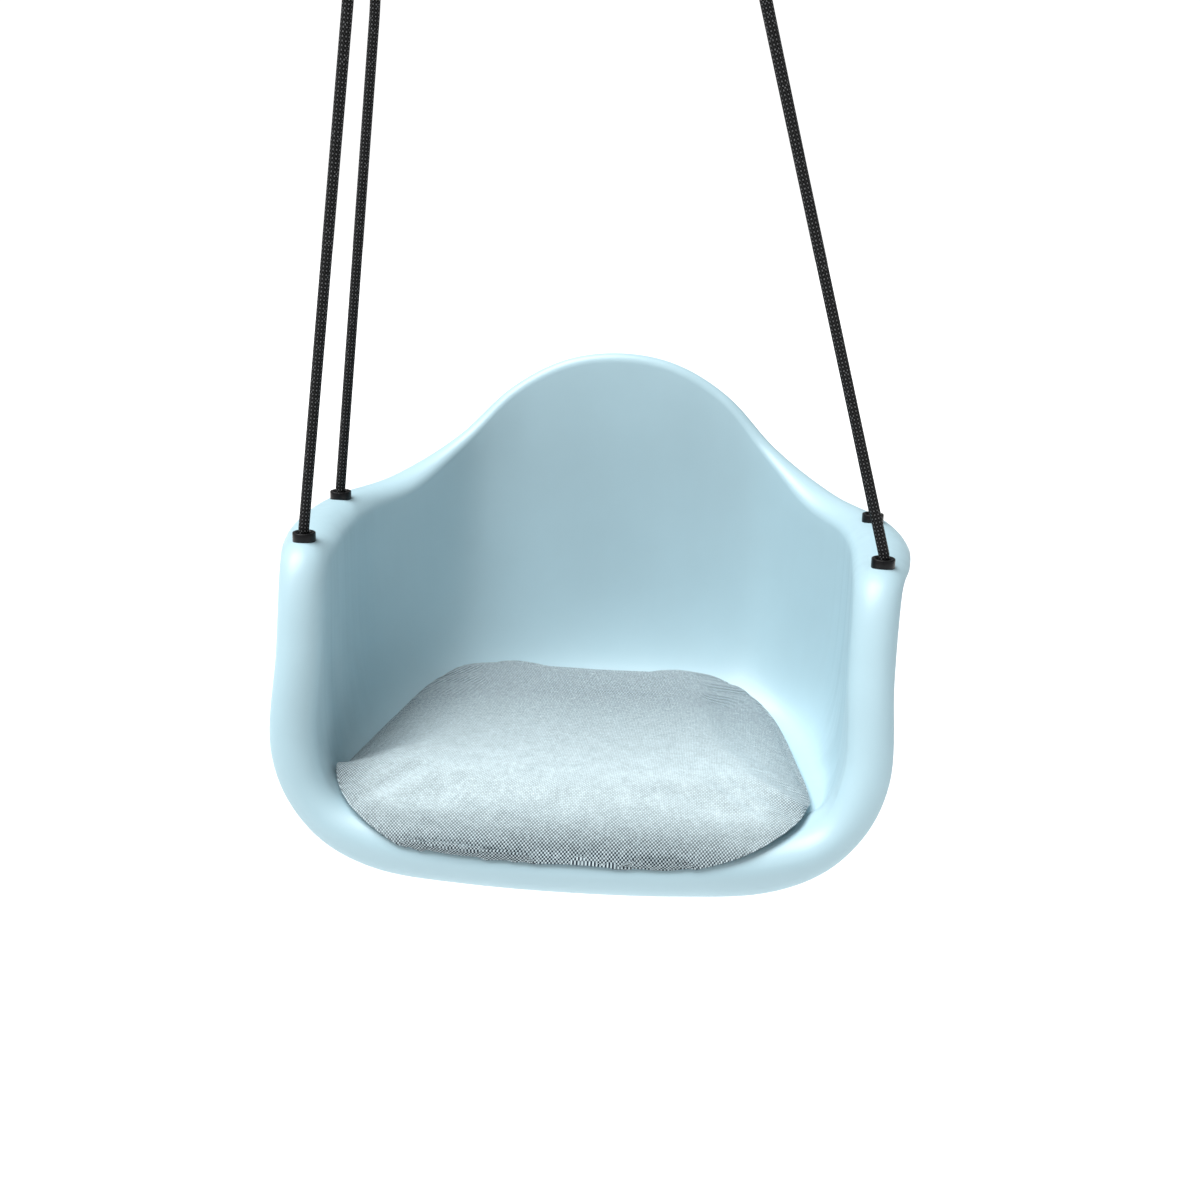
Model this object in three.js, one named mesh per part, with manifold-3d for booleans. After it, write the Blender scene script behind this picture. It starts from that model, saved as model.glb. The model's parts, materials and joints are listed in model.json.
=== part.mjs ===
// Moulded armchair-shell swing seat with a loose seat cushion, hung on four braided ropes.
// Each rope passes down through a bushing in an armrest and ends above in an eye with a
// thimble, a ferrule and a snap hook. Millimetres, +Z up, -Y towards the front of the seat,
// +X to the right as seen from the front. Left and right in names are as seen from the front.
// The origin is where the front left snap hook bears on the fixing that it hangs from.

import * as THREE from 'three';
import { mergeVertices } from 'three/addons/utils/BufferGeometryUtils.js';
import Module from 'manifold-3d';

const wasm = await Module();
wasm.setup();

// ---------------------------------------------------------------- driving dimensions

const GAP = 0.3;                 // clearance between pieces that touch

const SHELL_WALL = 5;            // moulded wall
const SHELL_EDGE_WALL = 3.8;     // wall at the free edge of the rolled rim
const SEAT_CENTRE_Y = -12;       // middle of the dished seat
const SEAT_LOW_Y = 30;           // lowest line of the dish
const SEAT_PULL = 0.19;          // how long a profile keeps the seat's direction, as a share
const ROLL_END_ANGLE = 1.05;     // how far past its outermost line the rim turns under

const COLUMNS_PER_STATION = 5;   // columns of the shell mesh between every two stations
const SEAT_RINGS = 3;
const WALL_RINGS = 7;
const ROLL_RINGS = 3;            // for each of the two halves of the roll

const ROPE_R = 5;
const HANG = 565;                // height of the upper pivot over the lower one
const PIVOT_ABOVE_COLLAR = 3.6;  // the rope bends this far above the bushing's mouth
const ROPE_SIDES = 8;

// Each corner: where its bushing stands on the armrest, and the sideways slope of its rope.
const CORNERS = [
  { name: 'front_left', x: -268, y: -84, slope: 0.116 },
  { name: 'front_right', x: 268, y: -84, slope: -0.286 },
  { name: 'rear_left', x: -272, y: 70, slope: 0.098 },
  { name: 'rear_right', x: 272, y: 70, slope: -0.281 },
];

const COLLAR_R = 10.8;
const COLLAR_H = 9;
const COLLAR_SEAT_DEPTH = 1.7;   // spot face that lets the collar stand flat on the armrest
const BUSH_TUBE_R = 8;
const BUSH_BORE_R = 6.6;
const BUSH_LENGTH = 22;          // below the collar
const WASHER_R = 12;
const WASHER_H = 2;
const NUT_FLATS = 23;
const NUT_H = 7;
const KNOT_R = 12.5;
const KNOT_H = 30;
const TAIL_LENGTH = 12;

const EYE_R = 20;                // rope centre line round the thimble
const THROAT_R = 22;             // rope centre line where the two parts come together
const STRAND_OFFSET = 5.3;       // half the distance between the two parts in the ferrule
const THIMBLE_WALL = 2.5;
const GROOVE_GAP = 0.8;          // round the rope in the thimble's groove
const THIMBLE_CLEAR = 7;         // thimble's inner face over the hook wire's centre line
const LEG_END = 0.72;            // where the thimble's legs stop, as a share of the throat's bend
const FERRULE_LENGTH = 30;
const FERRULE_WALL = 3;

const HOOK_WIRE_R = 4;
const HOOK_BEND_R = 16;
const HOOK_SIDE = 32;            // straight side between the hook's two bends
const GATE_R = 3.7;
const PIN_R = 1.2;
const TANG_THICK = 3;

const PAD_FRONT = -222;
const PAD_REAR = 158;
const PAD_CENTRE_X = -8;         // it lies loose, a little to one side
const PAD_HALF_WIDTH = 236;      // at the front
const PAD_TAPER = 0.22;          // share of the width lost towards the rear
const PAD_SQUARENESS = 4.1;
const PAD_HEIGHT = 30;
const PAD_LIFT = 2.2;            // over the shell
const COVER_WALL = 1.6;
const BASE_WALL = 1.2;
const FOAM_LIFT = 1.6;           // room between the backing and the foam
const FOAM_SLACK = 4.5;          // room between the foam's crown and the cover

// ---------------------------------------------------------------- materials

const material = (color, roughness, metalness = 0) => (
  new THREE.MeshStandardMaterial({ color, roughness, metalness })
);
const SHELL_BLUE = material(0xb9d9e4, 0.35);
const CUSHION_WEAVE = material(0x93a9b5, 0.95);
const CUSHION_FOAM = material(0xe8e2c8, 1);
const CUSHION_BACKING = material(0x3a3f44, 0.9);
const BLACK_PLASTIC = material(0x121314, 0.4);
const ROPE_BLACK = material(0x17181a, 0.85);
const STEEL = material(0xb4b7ba, 0.3, 1);
const BLACK_STEEL = material(0x1b1c1e, 0.45, 0.6);

// ---------------------------------------------------------------- solids

function solidOf(geometry) {
  const bare = geometry.clone();
  bare.deleteAttribute('normal');
  bare.deleteAttribute('uv');
  const merged = mergeVertices(bare, 1e-4);
  const mesh = new wasm.Mesh({
    numProp: 3,
    vertProperties: new Float32Array(merged.attributes.position.array),
    triVerts: new Uint32Array(merged.index.array),
  });
  return new wasm.Manifold(mesh);
}

function geometryOf(solid) {
  const mesh = solid.getMesh();
  const geometry = new THREE.BufferGeometry();
  const points = new Float32Array(mesh.vertProperties);
  geometry.setAttribute('position', new THREE.BufferAttribute(points, 3));
  geometry.setIndex(new THREE.BufferAttribute(new Uint32Array(mesh.triVerts), 1));
  geometry.computeVertexNormals();
  return geometry;
}

function place(geometry, x, y, z) {
  geometry.translate(x, y, z);
  return geometry;
}

// A solid of revolution about Z from a closed profile of [radius, height] pairs.
function turned(profile, segments) {
  const points = profile.map(([r, z]) => new THREE.Vector2(r, z));
  const geometry = new THREE.LatheGeometry(points, segments);
  geometry.rotateX(Math.PI / 2);
  return geometry;
}

function rod(radius, from, to, segments = 16) {
  return turned([[0, from], [radius, from], [radius, to], [0, to]], segments);
}

function box(sizeX, sizeY, sizeZ, x, y, z) {
  return place(new THREE.BoxGeometry(sizeX, sizeY, sizeZ), x, y, z);
}

// The faces between rings of equally many points, each quad cut along its shorter diagonal.
function wallFaces(points, rings, first) {
  const count = rings[0].length;
  const faces = [];
  const at = (ring, i) => first + ring * count + (i % count);
  for (let i = 0; i < count; i += 1) {
    for (let ring = 0; ring < rings.length - 1; ring += 1) {
      const [a, b, c, d] = [at(ring, i), at(ring + 1, i), at(ring + 1, i + 1), at(ring, i + 1)];
      if (points[a].distanceTo(points[c]) < points[b].distanceTo(points[d])) {
        faces.push(a, b, c, a, c, d);
      } else {
        faces.push(a, b, d, b, c, d);
      }
    }
  }
  return faces;
}

function meshOf(points, faces) {
  const geometry = new THREE.BufferGeometry().setFromPoints(points);
  geometry.setIndex(faces);
  geometry.computeVertexNormals();
  return geometry;
}

// A closed body through rings of points, ending in one point at either end.
function lofted(first, rings, last) {
  const points = [first, ...rings.flat(), last];
  const count = rings[0].length;
  const faces = wallFaces(points, rings, 1);
  const end = points.length - 1;
  for (let i = 0; i < count; i += 1) {
    const next = (i + 1) % count;
    faces.push(0, 1 + i, 1 + next);
    faces.push(end, end - count + next, end - count + i);
  }
  return meshOf(points, faces);
}

// ---------------------------------------------------------------- shell surface

// Stations along the right half of the rim, from the middle of the front lip to the middle
// of the back's top. at: where the wall turns into the rolled rim. seat: plan position where
// the seat's dish ends and the wall begins. climb: angle of the wall there, 0 forwards,
// 90 up. turn: the way the rim rolls, 0 down, 90 sideways, 180 backwards. over, out: from
// the start of the roll to its outermost line. on, back: from there to the free edge.
// pull: how long the wall keeps its direction below the roll.
const STATIONS = [
  { at: [0, -198, 0], seat: [0, -152], climb: -6, turn: 0, over: 34, out: 22, on: 18, back: 5, pull: 0.5 },
  { at: [98, -194, 0], seat: [84, -152], climb: -5, turn: 0, over: 33, out: 22, on: 18, back: 5, pull: 0.5 },
  { at: [170, -186, 5], seat: [146, -150], climb: -1, turn: 12, over: 30, out: 24, on: 18, back: 5, pull: 0.45 },
  { at: [219, -179, 20], seat: [196, -150], climb: 0, turn: 46, over: 24, out: 21, on: 13, back: 5, pull: 0.35 },
  { at: [239, -164, 66], seat: [219, -130], climb: 8, turn: 80, over: 22, out: 24, on: 16, back: 6, pull: 0.35 },
  { at: [239, -140, 140], seat: [224, -96], climb: 25, turn: 90, over: 20, out: 24, on: 16, back: 8, pull: 0.3 },
  { at: [241, -106, 204], seat: [222, -60], climb: 58, turn: 90, over: 22, out: 25, on: 18, back: 10, pull: 0.35 },
  { at: [244, -50, 215], seat: [214, -20], climb: 88, turn: 90, over: 20, out: 27, on: 26, back: 12, pull: 0.5 },
  { at: [247, 20, 217], seat: [209, 24], climb: 90, turn: 90, over: 20, out: 28, on: 28, back: 12, pull: 0.54 },
  { at: [240, 85, 220], seat: [197, 66], climb: 92, turn: 102, over: 19, out: 26, on: 26, back: 10, pull: 0.54 },
  { at: [208, 148, 230], seat: [170, 102], climb: 95, turn: 120, over: 16, out: 22, on: 18, back: 6, pull: 0.54 },
  { at: [165, 212, 268], seat: [133, 119], climb: 98, turn: 145, over: 13, out: 12, on: 9, back: 3, pull: 0.54 },
  { at: [118, 242, 318], seat: [92, 126], climb: 101, turn: 160, over: 12, out: 10, on: 7, back: 2, pull: 0.54 },
  { at: [62, 254, 350], seat: [47, 129], climb: 102, turn: 172, over: 12, out: 10, on: 7, back: 2, pull: 0.54 },
  { at: [0, 257, 360], seat: [0, 130], climb: 102, turn: 180, over: 12, out: 10, on: 7, back: 2, pull: 0.54 },
];

const LAST_STATION = STATIONS.length - 1;

function stationValue(index, read, odd) {
  let i = index;
  let sign = 1;
  if (i < 0) {
    i = -i;
    sign = odd ? -1 : 1;
  } else if (i > LAST_STATION) {
    i = 2 * LAST_STATION - i;
    sign = odd ? -1 : 1;
  }
  return sign * read(STATIONS[i]);
}

// Catmull-Rom between stations. odd marks a value that changes sign across the middle.
function along(s, read, odd = false) {
  const i = Math.min(Math.floor(s), LAST_STATION - 1);
  const t = s - i;
  const [p0, p1, p2, p3] = [-1, 0, 1, 2].map((k) => stationValue(i + k, read, odd));
  return 0.5 * (2 * p1 + (p2 - p0) * t + (2 * p0 - 5 * p1 + 4 * p2 - p3) * t * t
    + (3 * p1 - p0 - 3 * p2 + p3) * t * t * t);
}

const radians = THREE.MathUtils.degToRad;

function seatHeight(x, y) {
  const fore = (y - SEAT_LOW_Y) / (y < SEAT_LOW_Y ? 180 : 95);
  return (y < SEAT_LOW_Y ? 4 : 14) * fore * fore + 6 * (x / 195) ** 2;
}

// Everything that one profile of the shell needs, at position s between the stations.
function profileAt(s) {
  const seatX = along(s, (p) => p.seat[0], true);
  const seatY = along(s, (p) => p.seat[1]);
  const rim = new THREE.Vector3(
    along(s, (p) => p.at[0], true),
    along(s, (p) => p.at[1]),
    along(s, (p) => p.at[2]),
  );
  const climb = radians(along(s, (p) => p.climb));
  const turn = along(s, (p) => p.turn);
  const wallWay = new THREE.Vector3(0, -Math.cos(climb), Math.sin(climb));
  const down = radians(Math.min(turn, 90));
  const rearward = radians(Math.max(turn - 90, 0));
  const rollWay = new THREE.Vector3(
    Math.sin(down) * Math.cos(rearward),
    Math.sin(rearward),
    -Math.cos(down),
  );
  rollWay.addScaledVector(wallWay, -rollWay.dot(wallWay)).normalize();
  return {
    seat: new THREE.Vector3(seatX, seatY, seatHeight(seatX, seatY)),
    rim,
    wallWay,
    rollWay,
    over: along(s, (p) => p.over),
    out: along(s, (p) => p.out),
    on: along(s, (p) => p.on),
    back: along(s, (p) => p.back),
    pull: along(s, (p) => p.pull),
  };
}

// A point of the inner surface: v runs 0 to 1 over the seat, to 2 up the wall, to 3 over the
// first half of the roll and to 4 at its free edge.
function profilePoint(p, v) {
  if (v <= 1) {
    const x = p.seat.x * v;
    const y = SEAT_CENTRE_Y + (p.seat.y - SEAT_CENTRE_Y) * v;
    return new THREE.Vector3(x, y, seatHeight(x, y));
  }
  if (v <= 2) {
    const reach = p.rim.distanceTo(p.seat);
    const outward = new THREE.Vector3(p.seat.x, p.seat.y - SEAT_CENTRE_Y, 0).normalize();
    const slope = (seatHeight(p.seat.x + outward.x, p.seat.y + outward.y) - p.seat.z);
    outward.z = slope;
    const curve = new THREE.CubicBezierCurve3(
      p.seat,
      p.seat.clone().addScaledVector(outward, SEAT_PULL * reach),
      p.rim.clone().addScaledVector(p.wallWay, -p.pull * reach),
      p.rim,
    );
    return curve.getPoint(v - 1);
  }
  if (v <= 3) {
    const a = (v - 2) * Math.PI / 2;
    return p.rim.clone()
      .addScaledVector(p.wallWay, p.over * Math.sin(a))
      .addScaledVector(p.rollWay, p.out * (1 - Math.cos(a)));
  }
  const a = (v - 3) * ROLL_END_ANGLE;
  return p.rim.clone()
    .addScaledVector(p.wallWay, p.over - p.back * (1 - Math.cos(a)) / (1 - Math.cos(ROLL_END_ANGLE)))
    .addScaledVector(p.rollWay, p.out + p.on * Math.sin(a) / Math.sin(ROLL_END_ANGLE));
}

function shellPoint(s, v) {
  return profilePoint(profileAt(s), v);
}

// Unit normal towards the sitter.
function shellNormal(s, v) {
  const e = 0.02;
  const lowS = Math.max(s - e, 0);
  const highS = Math.min(s + e, LAST_STATION);
  const acrossS = shellPoint(highS, v).sub(shellPoint(lowS, v));
  if (s < e || s > LAST_STATION - e) {
    acrossS.y = 0;
    acrossS.z = 0;
  }
  const acrossV = shellPoint(s, Math.min(v + e, 4)).sub(shellPoint(s, Math.max(v - e, 0.02)));
  return acrossS.cross(acrossV).normalize().negate();
}

function ringValues() {
  const values = [];
  for (let i = 1; i <= SEAT_RINGS; i += 1) values.push(i / SEAT_RINGS);
  for (let i = 1; i <= WALL_RINGS; i += 1) values.push(1 + i / WALL_RINGS);
  for (let i = 1; i <= 2 * ROLL_RINGS; i += 1) values.push(2 + i / ROLL_RINGS);
  return values;
}

// The inner surface and, offset by the wall, the outer one, as rings of points.
function shellRings() {
  const inner = [];
  const outer = [];
  const columns = LAST_STATION * COLUMNS_PER_STATION / 2;
  for (const v of ringValues()) {
    const wall = v < 2 ? SHELL_WALL : SHELL_WALL + (SHELL_EDGE_WALL - SHELL_WALL) * (v - 2) / 2;
    const right = [];
    const rightOuter = [];
    for (let i = 0; i <= columns; i += 1) {
      const s = i * LAST_STATION / columns;
      const point = shellPoint(s, v);
      right.push(point);
      rightOuter.push(point.clone().addScaledVector(shellNormal(s, v), -wall));
    }
    for (const [half, ring] of [[right, inner], [rightOuter, outer]]) {
      half[0].x = 0;
      half[columns].x = 0;
      const left = half.slice(1, columns).reverse().map((p) => new THREE.Vector3(-p.x, p.y, p.z));
      ring.push([...half, ...left]);
    }
  }
  return { inner, outer };
}

const RINGS = shellRings();
const SEAT_MIDDLE = new THREE.Vector3(0, SEAT_CENTRE_Y, seatHeight(0, SEAT_CENTRE_Y));

function shellBlank() {
  const under = SEAT_MIDDLE.clone();
  under.z -= SHELL_WALL;
  return lofted(SEAT_MIDDLE, [...RINGS.inner, ...[...RINGS.outer].reverse()], under);
}

// Height of the shell's inner surface over a plan position.
const inside = lofted(SEAT_MIDDLE, RINGS.inner, new THREE.Vector3(0, 0, -2000));
const insideMesh = new THREE.Mesh(inside, new THREE.MeshBasicMaterial({ side: THREE.DoubleSide }));
const insideTop = 200;
const offEdge = 0.02;            // keeps a ray clear of the edge between two triangles

function surfaceHeight(x, y, from = insideTop) {
  const start = new THREE.Vector3(x + offEdge, y + offEdge / 2, from);
  const [hit] = new THREE.Raycaster(start, new THREE.Vector3(0, 0, -1)).intersectObject(insideMesh);
  return hit.point.z;
}

for (const corner of CORNERS) {
  corner.armTop = surfaceHeight(corner.x, corner.y, 300);
  corner.collarFoot = corner.armTop - COLLAR_SEAT_DEPTH;
  corner.pivotZ = corner.collarFoot + COLLAR_H + PIVOT_ABOVE_COLLAR;
  corner.lean = Math.atan(corner.slope);
  corner.length = HANG / Math.cos(corner.lean);
}

function shellGeometry() {
  let solid = solidOf(shellBlank());
  for (const corner of CORNERS) {
    const hole = rod(BUSH_TUBE_R + GAP, corner.armTop - 20, corner.armTop + 5, 20);
    const face = rod(COLLAR_R + GAP, corner.collarFoot - GAP, corner.armTop + 5, 24);
    solid = solid.subtract(solidOf(place(hole, corner.x, corner.y, 0)));
    solid = solid.subtract(solidOf(place(face, corner.x, corner.y, 0)));
  }
  return geometryOf(solid);
}

// ---------------------------------------------------------------- cushion

const PAD_COLUMNS = 40;
const PAD_SHARES = [0.3, 0.6, 0.76, 0.88, 0.92];
const PAD_MIDDLE_Y = (PAD_FRONT + PAD_REAR) / 2;
const PAD_HALF_DEPTH = (PAD_REAR - PAD_FRONT) / 2;

// Plan position on the cushion: share 0 is its middle and 1 its outline.
function padPlan(share, i) {
  const a = (i / PAD_COLUMNS) * 2 * Math.PI;
  const bend = (value) => Math.sign(value) * Math.abs(value) ** (2 / PAD_SQUARENESS);
  const depth = bend(-Math.cos(a));
  const width = PAD_HALF_WIDTH * (1 - PAD_TAPER * (depth + 1) / 2);
  return [
    PAD_CENTRE_X + share * width * bend(Math.sin(a)),
    PAD_MIDDLE_Y + share * PAD_HALF_DEPTH * depth,
  ];
}

// A ring of the cushion at a height over the shell.
function padRing(share, height) {
  return Array.from({ length: PAD_COLUMNS }, (_, i) => {
    const [x, y] = padPlan(share, i);
    return new THREE.Vector3(x, y, surfaceHeight(x, y) + height);
  });
}

function padMiddle(height) {
  const z = surfaceHeight(PAD_CENTRE_X, PAD_MIDDLE_Y) + height;
  return new THREE.Vector3(PAD_CENTRE_X, PAD_MIDDLE_Y, z);
}

// Height of a crowned surface that meets its foot at the given outline share.
function crown(share, outline, height) {
  return height * (1 - (share / outline) ** 5) ** 0.5;
}

function coverGeometry() {
  const innerOutline = 0.985;
  const outer = [...PAD_SHARES, 0.96, 0.99, 1].map((share) => (
    padRing(share, PAD_LIFT + crown(share, 1, PAD_HEIGHT))
  ));
  const hem = [padRing(0.955, PAD_LIFT)];
  const inner = [0.955, ...[...PAD_SHARES].reverse()].map((share) => (
    padRing(share, PAD_LIFT + crown(share, innerOutline, PAD_HEIGHT - COVER_WALL))
  ));
  const rings = [...outer, ...hem, ...inner];
  return lofted(padMiddle(PAD_LIFT + PAD_HEIGHT), rings, padMiddle(PAD_LIFT + PAD_HEIGHT - COVER_WALL));
}

function foamGeometry() {
  const foot = PAD_LIFT + BASE_WALL + FOAM_LIFT;
  const top = PAD_HEIGHT - COVER_WALL - FOAM_SLACK;
  const upper = PAD_SHARES.map((share) => padRing(share, PAD_LIFT + crown(share, 0.985, top)));
  const lower = [...PAD_SHARES].reverse().map((share) => padRing(share, foot));
  return lofted(padMiddle(PAD_LIFT + top), [...upper, ...lower], padMiddle(foot));
}

function baseGeometry() {
  const shares = [...PAD_SHARES, 0.945];
  const upper = shares.map((share) => padRing(share, PAD_LIFT + BASE_WALL));
  const lower = [...shares].reverse().map((share) => padRing(share, PAD_LIFT));
  return lofted(padMiddle(PAD_LIFT + BASE_WALL), [...upper, ...lower], padMiddle(PAD_LIFT));
}

// ---------------------------------------------------------------- bushing and its fixings

// Heights under the armrest, measured down from the collar's foot.
const WASHER_TOP = -(SHELL_WALL + 2.2);
const NUT_TOP = WASHER_TOP - WASHER_H - GAP;
const KNOT_TOP = -BUSH_LENGTH - GAP;

function bushingGeometry() {
  return turned([
    [BUSH_BORE_R, -BUSH_LENGTH],
    [BUSH_TUBE_R, -BUSH_LENGTH],
    [BUSH_TUBE_R, 0],
    [COLLAR_R, 0],
    [COLLAR_R, COLLAR_H - 0.6],
    [COLLAR_R - 0.6, COLLAR_H],
    [BUSH_BORE_R + 1.8, COLLAR_H],
    [BUSH_BORE_R, COLLAR_H - 2.2],
    [BUSH_BORE_R, -BUSH_LENGTH],
  ], 20);
}

function washerGeometry() {
  const low = WASHER_TOP - WASHER_H;
  const bore = BUSH_TUBE_R + GAP;
  return turned([[bore, low], [WASHER_R, low], [WASHER_R, WASHER_TOP], [bore, WASHER_TOP], [bore, low]], 20);
}

function nutGeometry() {
  const low = NUT_TOP - NUT_H;
  const hex = rod(NUT_FLATS / Math.sqrt(3), low, NUT_TOP, 6);
  const bore = rod(BUSH_TUBE_R + GAP, low - 1, NUT_TOP + 1, 20);
  return geometryOf(solidOf(hex).subtract(solidOf(bore)));
}

// The rope's end inside the bushing, its stopper knot and the short tail below it.
function knotGeometry() {
  const top = COLLAR_H + PIVOT_ABOVE_COLLAR - ROPE_R - GAP;
  const low = KNOT_TOP - KNOT_H;
  return turned([
    [0, low - TAIL_LENGTH],
    [ROPE_R, low - TAIL_LENGTH],
    [ROPE_R, low],
    [KNOT_R * 0.7, low + 1.5],
    [KNOT_R, low + 7],
    [KNOT_R, KNOT_TOP - 7],
    [KNOT_R * 0.7, KNOT_TOP - 1.5],
    [ROPE_R, KNOT_TOP],
    [ROPE_R, top],
    [0, top],
  ], 14);
}

// ---------------------------------------------------------------- rope, eye and ferrule

// Heights in the rope's own frame, from its lower pivot upwards.
const THROAT_RISE = Math.sqrt((EYE_R + THROAT_R) ** 2 - (STRAND_OFFSET + THROAT_R) ** 2);
const EYE_DROP = EYE_R - ROPE_R - GROOVE_GAP - THIMBLE_WALL - THIMBLE_CLEAR;  // eye centre under the wire
const THROAT_ANGLE = Math.atan2(THROAT_RISE, STRAND_OFFSET + THROAT_R);

function arcPoints(centreY, centreZ, radius, from, to, steps) {
  return Array.from({ length: steps + 1 }, (_, i) => {
    const a = from + (to - from) * i / steps;
    return new THREE.Vector3(0, centreY + radius * Math.cos(a), centreZ + radius * Math.sin(a));
  });
}

// A tube of constant section along a line of points that lies in the YZ plane.
function sweep(section, points) {
  const count = section.length;
  const rings = points.map((point, i) => {
    const before = points[Math.max(i - 1, 0)];
    const after = points[Math.min(i + 1, points.length - 1)];
    const way = after.clone().sub(before).normalize();
    const side = new THREE.Vector3(1, 0, 0);
    const up = side.clone().cross(way);
    return section.map(([a, b]) => point.clone().addScaledVector(side, a).addScaledVector(up, b));
  });
  const skin = rings.flat();
  const faces = wallFaces(skin, rings, 0);
  const outline = section.map(([a, b]) => new THREE.Vector2(a, b));
  const last = skin.length - count;
  for (const face of THREE.ShapeUtils.triangulateShape(outline, [])) {
    const turn = THREE.ShapeUtils.isClockWise(face.map((i) => outline[i]));
    const [a, b, c] = turn ? [face[0], face[2], face[1]] : face;
    faces.push(a, b, c, last + a, last + c, last + b);
  }
  return meshOf(skin, faces);
}

const circleSection = (radius, sides) => Array.from({ length: sides }, (_, i) => {
  const a = (i + 0.5) * 2 * Math.PI / sides;
  return [radius * Math.cos(a), radius * Math.sin(a)];
});

// The rope's centre line: straight up, aside into the ferrule, round the thimble and back.
function ropePoints(length) {
  const eye = length - EYE_DROP;
  const throat = eye - THROAT_RISE;
  const ferruleLow = throat - 2 - FERRULE_LENGTH;
  const bendLow = ferruleLow - 45;
  const points = [];
  const straightSteps = 14;
  for (let i = 0; i <= straightSteps; i += 1) {
    points.push(new THREE.Vector3(0, 0, bendLow * i / straightSteps));
  }
  const bendSteps = 4;
  for (let i = 1; i <= bendSteps; i += 1) {
    const t = i / bendSteps;
    const aside = STRAND_OFFSET * (1 - Math.cos(t * Math.PI)) / 2;
    points.push(new THREE.Vector3(0, -aside, bendLow + t * (ferruleLow - bendLow)));
  }
  points.push(new THREE.Vector3(0, -STRAND_OFFSET, ferruleLow + FERRULE_LENGTH / 2));
  const side = STRAND_OFFSET + THROAT_R;
  points.push(...arcPoints(-side, throat, THROAT_R, 0, THROAT_ANGLE, 3));
  const arcFrom = Math.PI + THROAT_ANGLE;
  points.push(...arcPoints(0, eye, EYE_R, arcFrom, -THROAT_ANGLE, 14).slice(1));
  points.push(...arcPoints(side, throat, THROAT_R, Math.PI - THROAT_ANGLE, Math.PI, 3).slice(1));
  points.push(new THREE.Vector3(0, STRAND_OFFSET, ferruleLow + FERRULE_LENGTH / 2));
  points.push(new THREE.Vector3(0, STRAND_OFFSET, ferruleLow + 3));
  return points;
}

function ropeGeometry(length) {
  return sweep(circleSection(ROPE_R, ROPE_SIDES), ropePoints(length));
}

function thimbleGeometry(length) {
  const eye = length - EYE_DROP;
  const throat = eye - THROAT_RISE;
  const inner = EYE_R - ROPE_R - GROOVE_GAP;
  const side = STRAND_OFFSET + THROAT_R;
  const outer = THROAT_R + ROPE_R + GROOVE_GAP;
  const tip = Math.PI - THROAT_ANGLE;
  const line = [
    ...arcPoints(-side, throat, outer, THROAT_ANGLE * LEG_END, THROAT_ANGLE, 2).slice(0, -1),
    ...arcPoints(0, eye, inner, Math.PI + THROAT_ANGLE, -THROAT_ANGLE, 14),
    ...arcPoints(side, throat, outer, tip, Math.PI - THROAT_ANGLE * LEG_END, 2).slice(1),
  ];
  const half = ROPE_R + 2.2;
  const lip = ROPE_R + GROOVE_GAP;
  const section = [
    [-half, -THIMBLE_WALL], [half, -THIMBLE_WALL], [half, 3.6], [lip, 3.6],
    [lip, 0], [-lip, 0], [-lip, 3.6], [-half, 3.6],
  ];
  return sweep(section, line);
}

function ferruleGeometry(length) {
  const low = length - EYE_DROP - THROAT_RISE - 2 - FERRULE_LENGTH;
  const oval = (reach, radius) => {
    const shape = new THREE.Path();
    shape.absarc(0, reach, radius, 0, Math.PI, false);
    shape.absarc(0, -reach, radius, Math.PI, 2 * Math.PI, false);
    shape.closePath();
    return shape;
  };
  const bore = ROPE_R + GAP;
  const shape = new THREE.Shape(oval(STRAND_OFFSET, bore + FERRULE_WALL).getPoints(8));
  shape.holes.push(new THREE.Path(oval(STRAND_OFFSET, bore).getPoints(8)));
  const geometry = new THREE.ExtrudeGeometry(shape, { depth: FERRULE_LENGTH, bevelEnabled: false });
  return place(geometry, 0, 0, low);
}

// ---------------------------------------------------------------- snap hook

// Heights in the hook's own frame, from the centre of its lower wire upwards.
const HOOK_TOP = 2 * HOOK_BEND_R + HOOK_SIDE;
const PIN_Z = HOOK_BEND_R + 5.5;
const NOSE_Z = HOOK_BEND_R + HOOK_SIDE;
const GATE_TOP = NOSE_Z - 0.6;

function hookGeometry() {
  const bend = HOOK_BEND_R;
  const flat = (points) => points.map((p) => new THREE.Vector3(0, p.y, p.z));
  const line = [
    ...flat(arcPoints(0, bend, bend, 0, -Math.PI, 12)),
    ...flat(arcPoints(0, NOSE_Z, bend, Math.PI, 0, 12)),
  ];
  line.unshift(new THREE.Vector3(0, bend, PIN_Z - GATE_R - 0.8));
  const wire = sweep(circleSection(HOOK_WIRE_R, 10), line);
  wire.rotateZ(-Math.PI / 2);
  const tang = box(5.4, TANG_THICK, 9, bend, 0, PIN_Z - 1.5);
  const tongue = box(3.4, 2.4, 5, bend + 0.8, 0, NOSE_Z - 1.9);
  const pinHole = rod(PIN_R + 0.25, -10, 10, 12);
  pinHole.rotateX(Math.PI / 2);
  place(pinHole, bend, 0, PIN_Z);
  return geometryOf(solidOf(wire).add(solidOf(tang)).add(solidOf(tongue)).subtract(solidOf(pinHole)));
}

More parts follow.
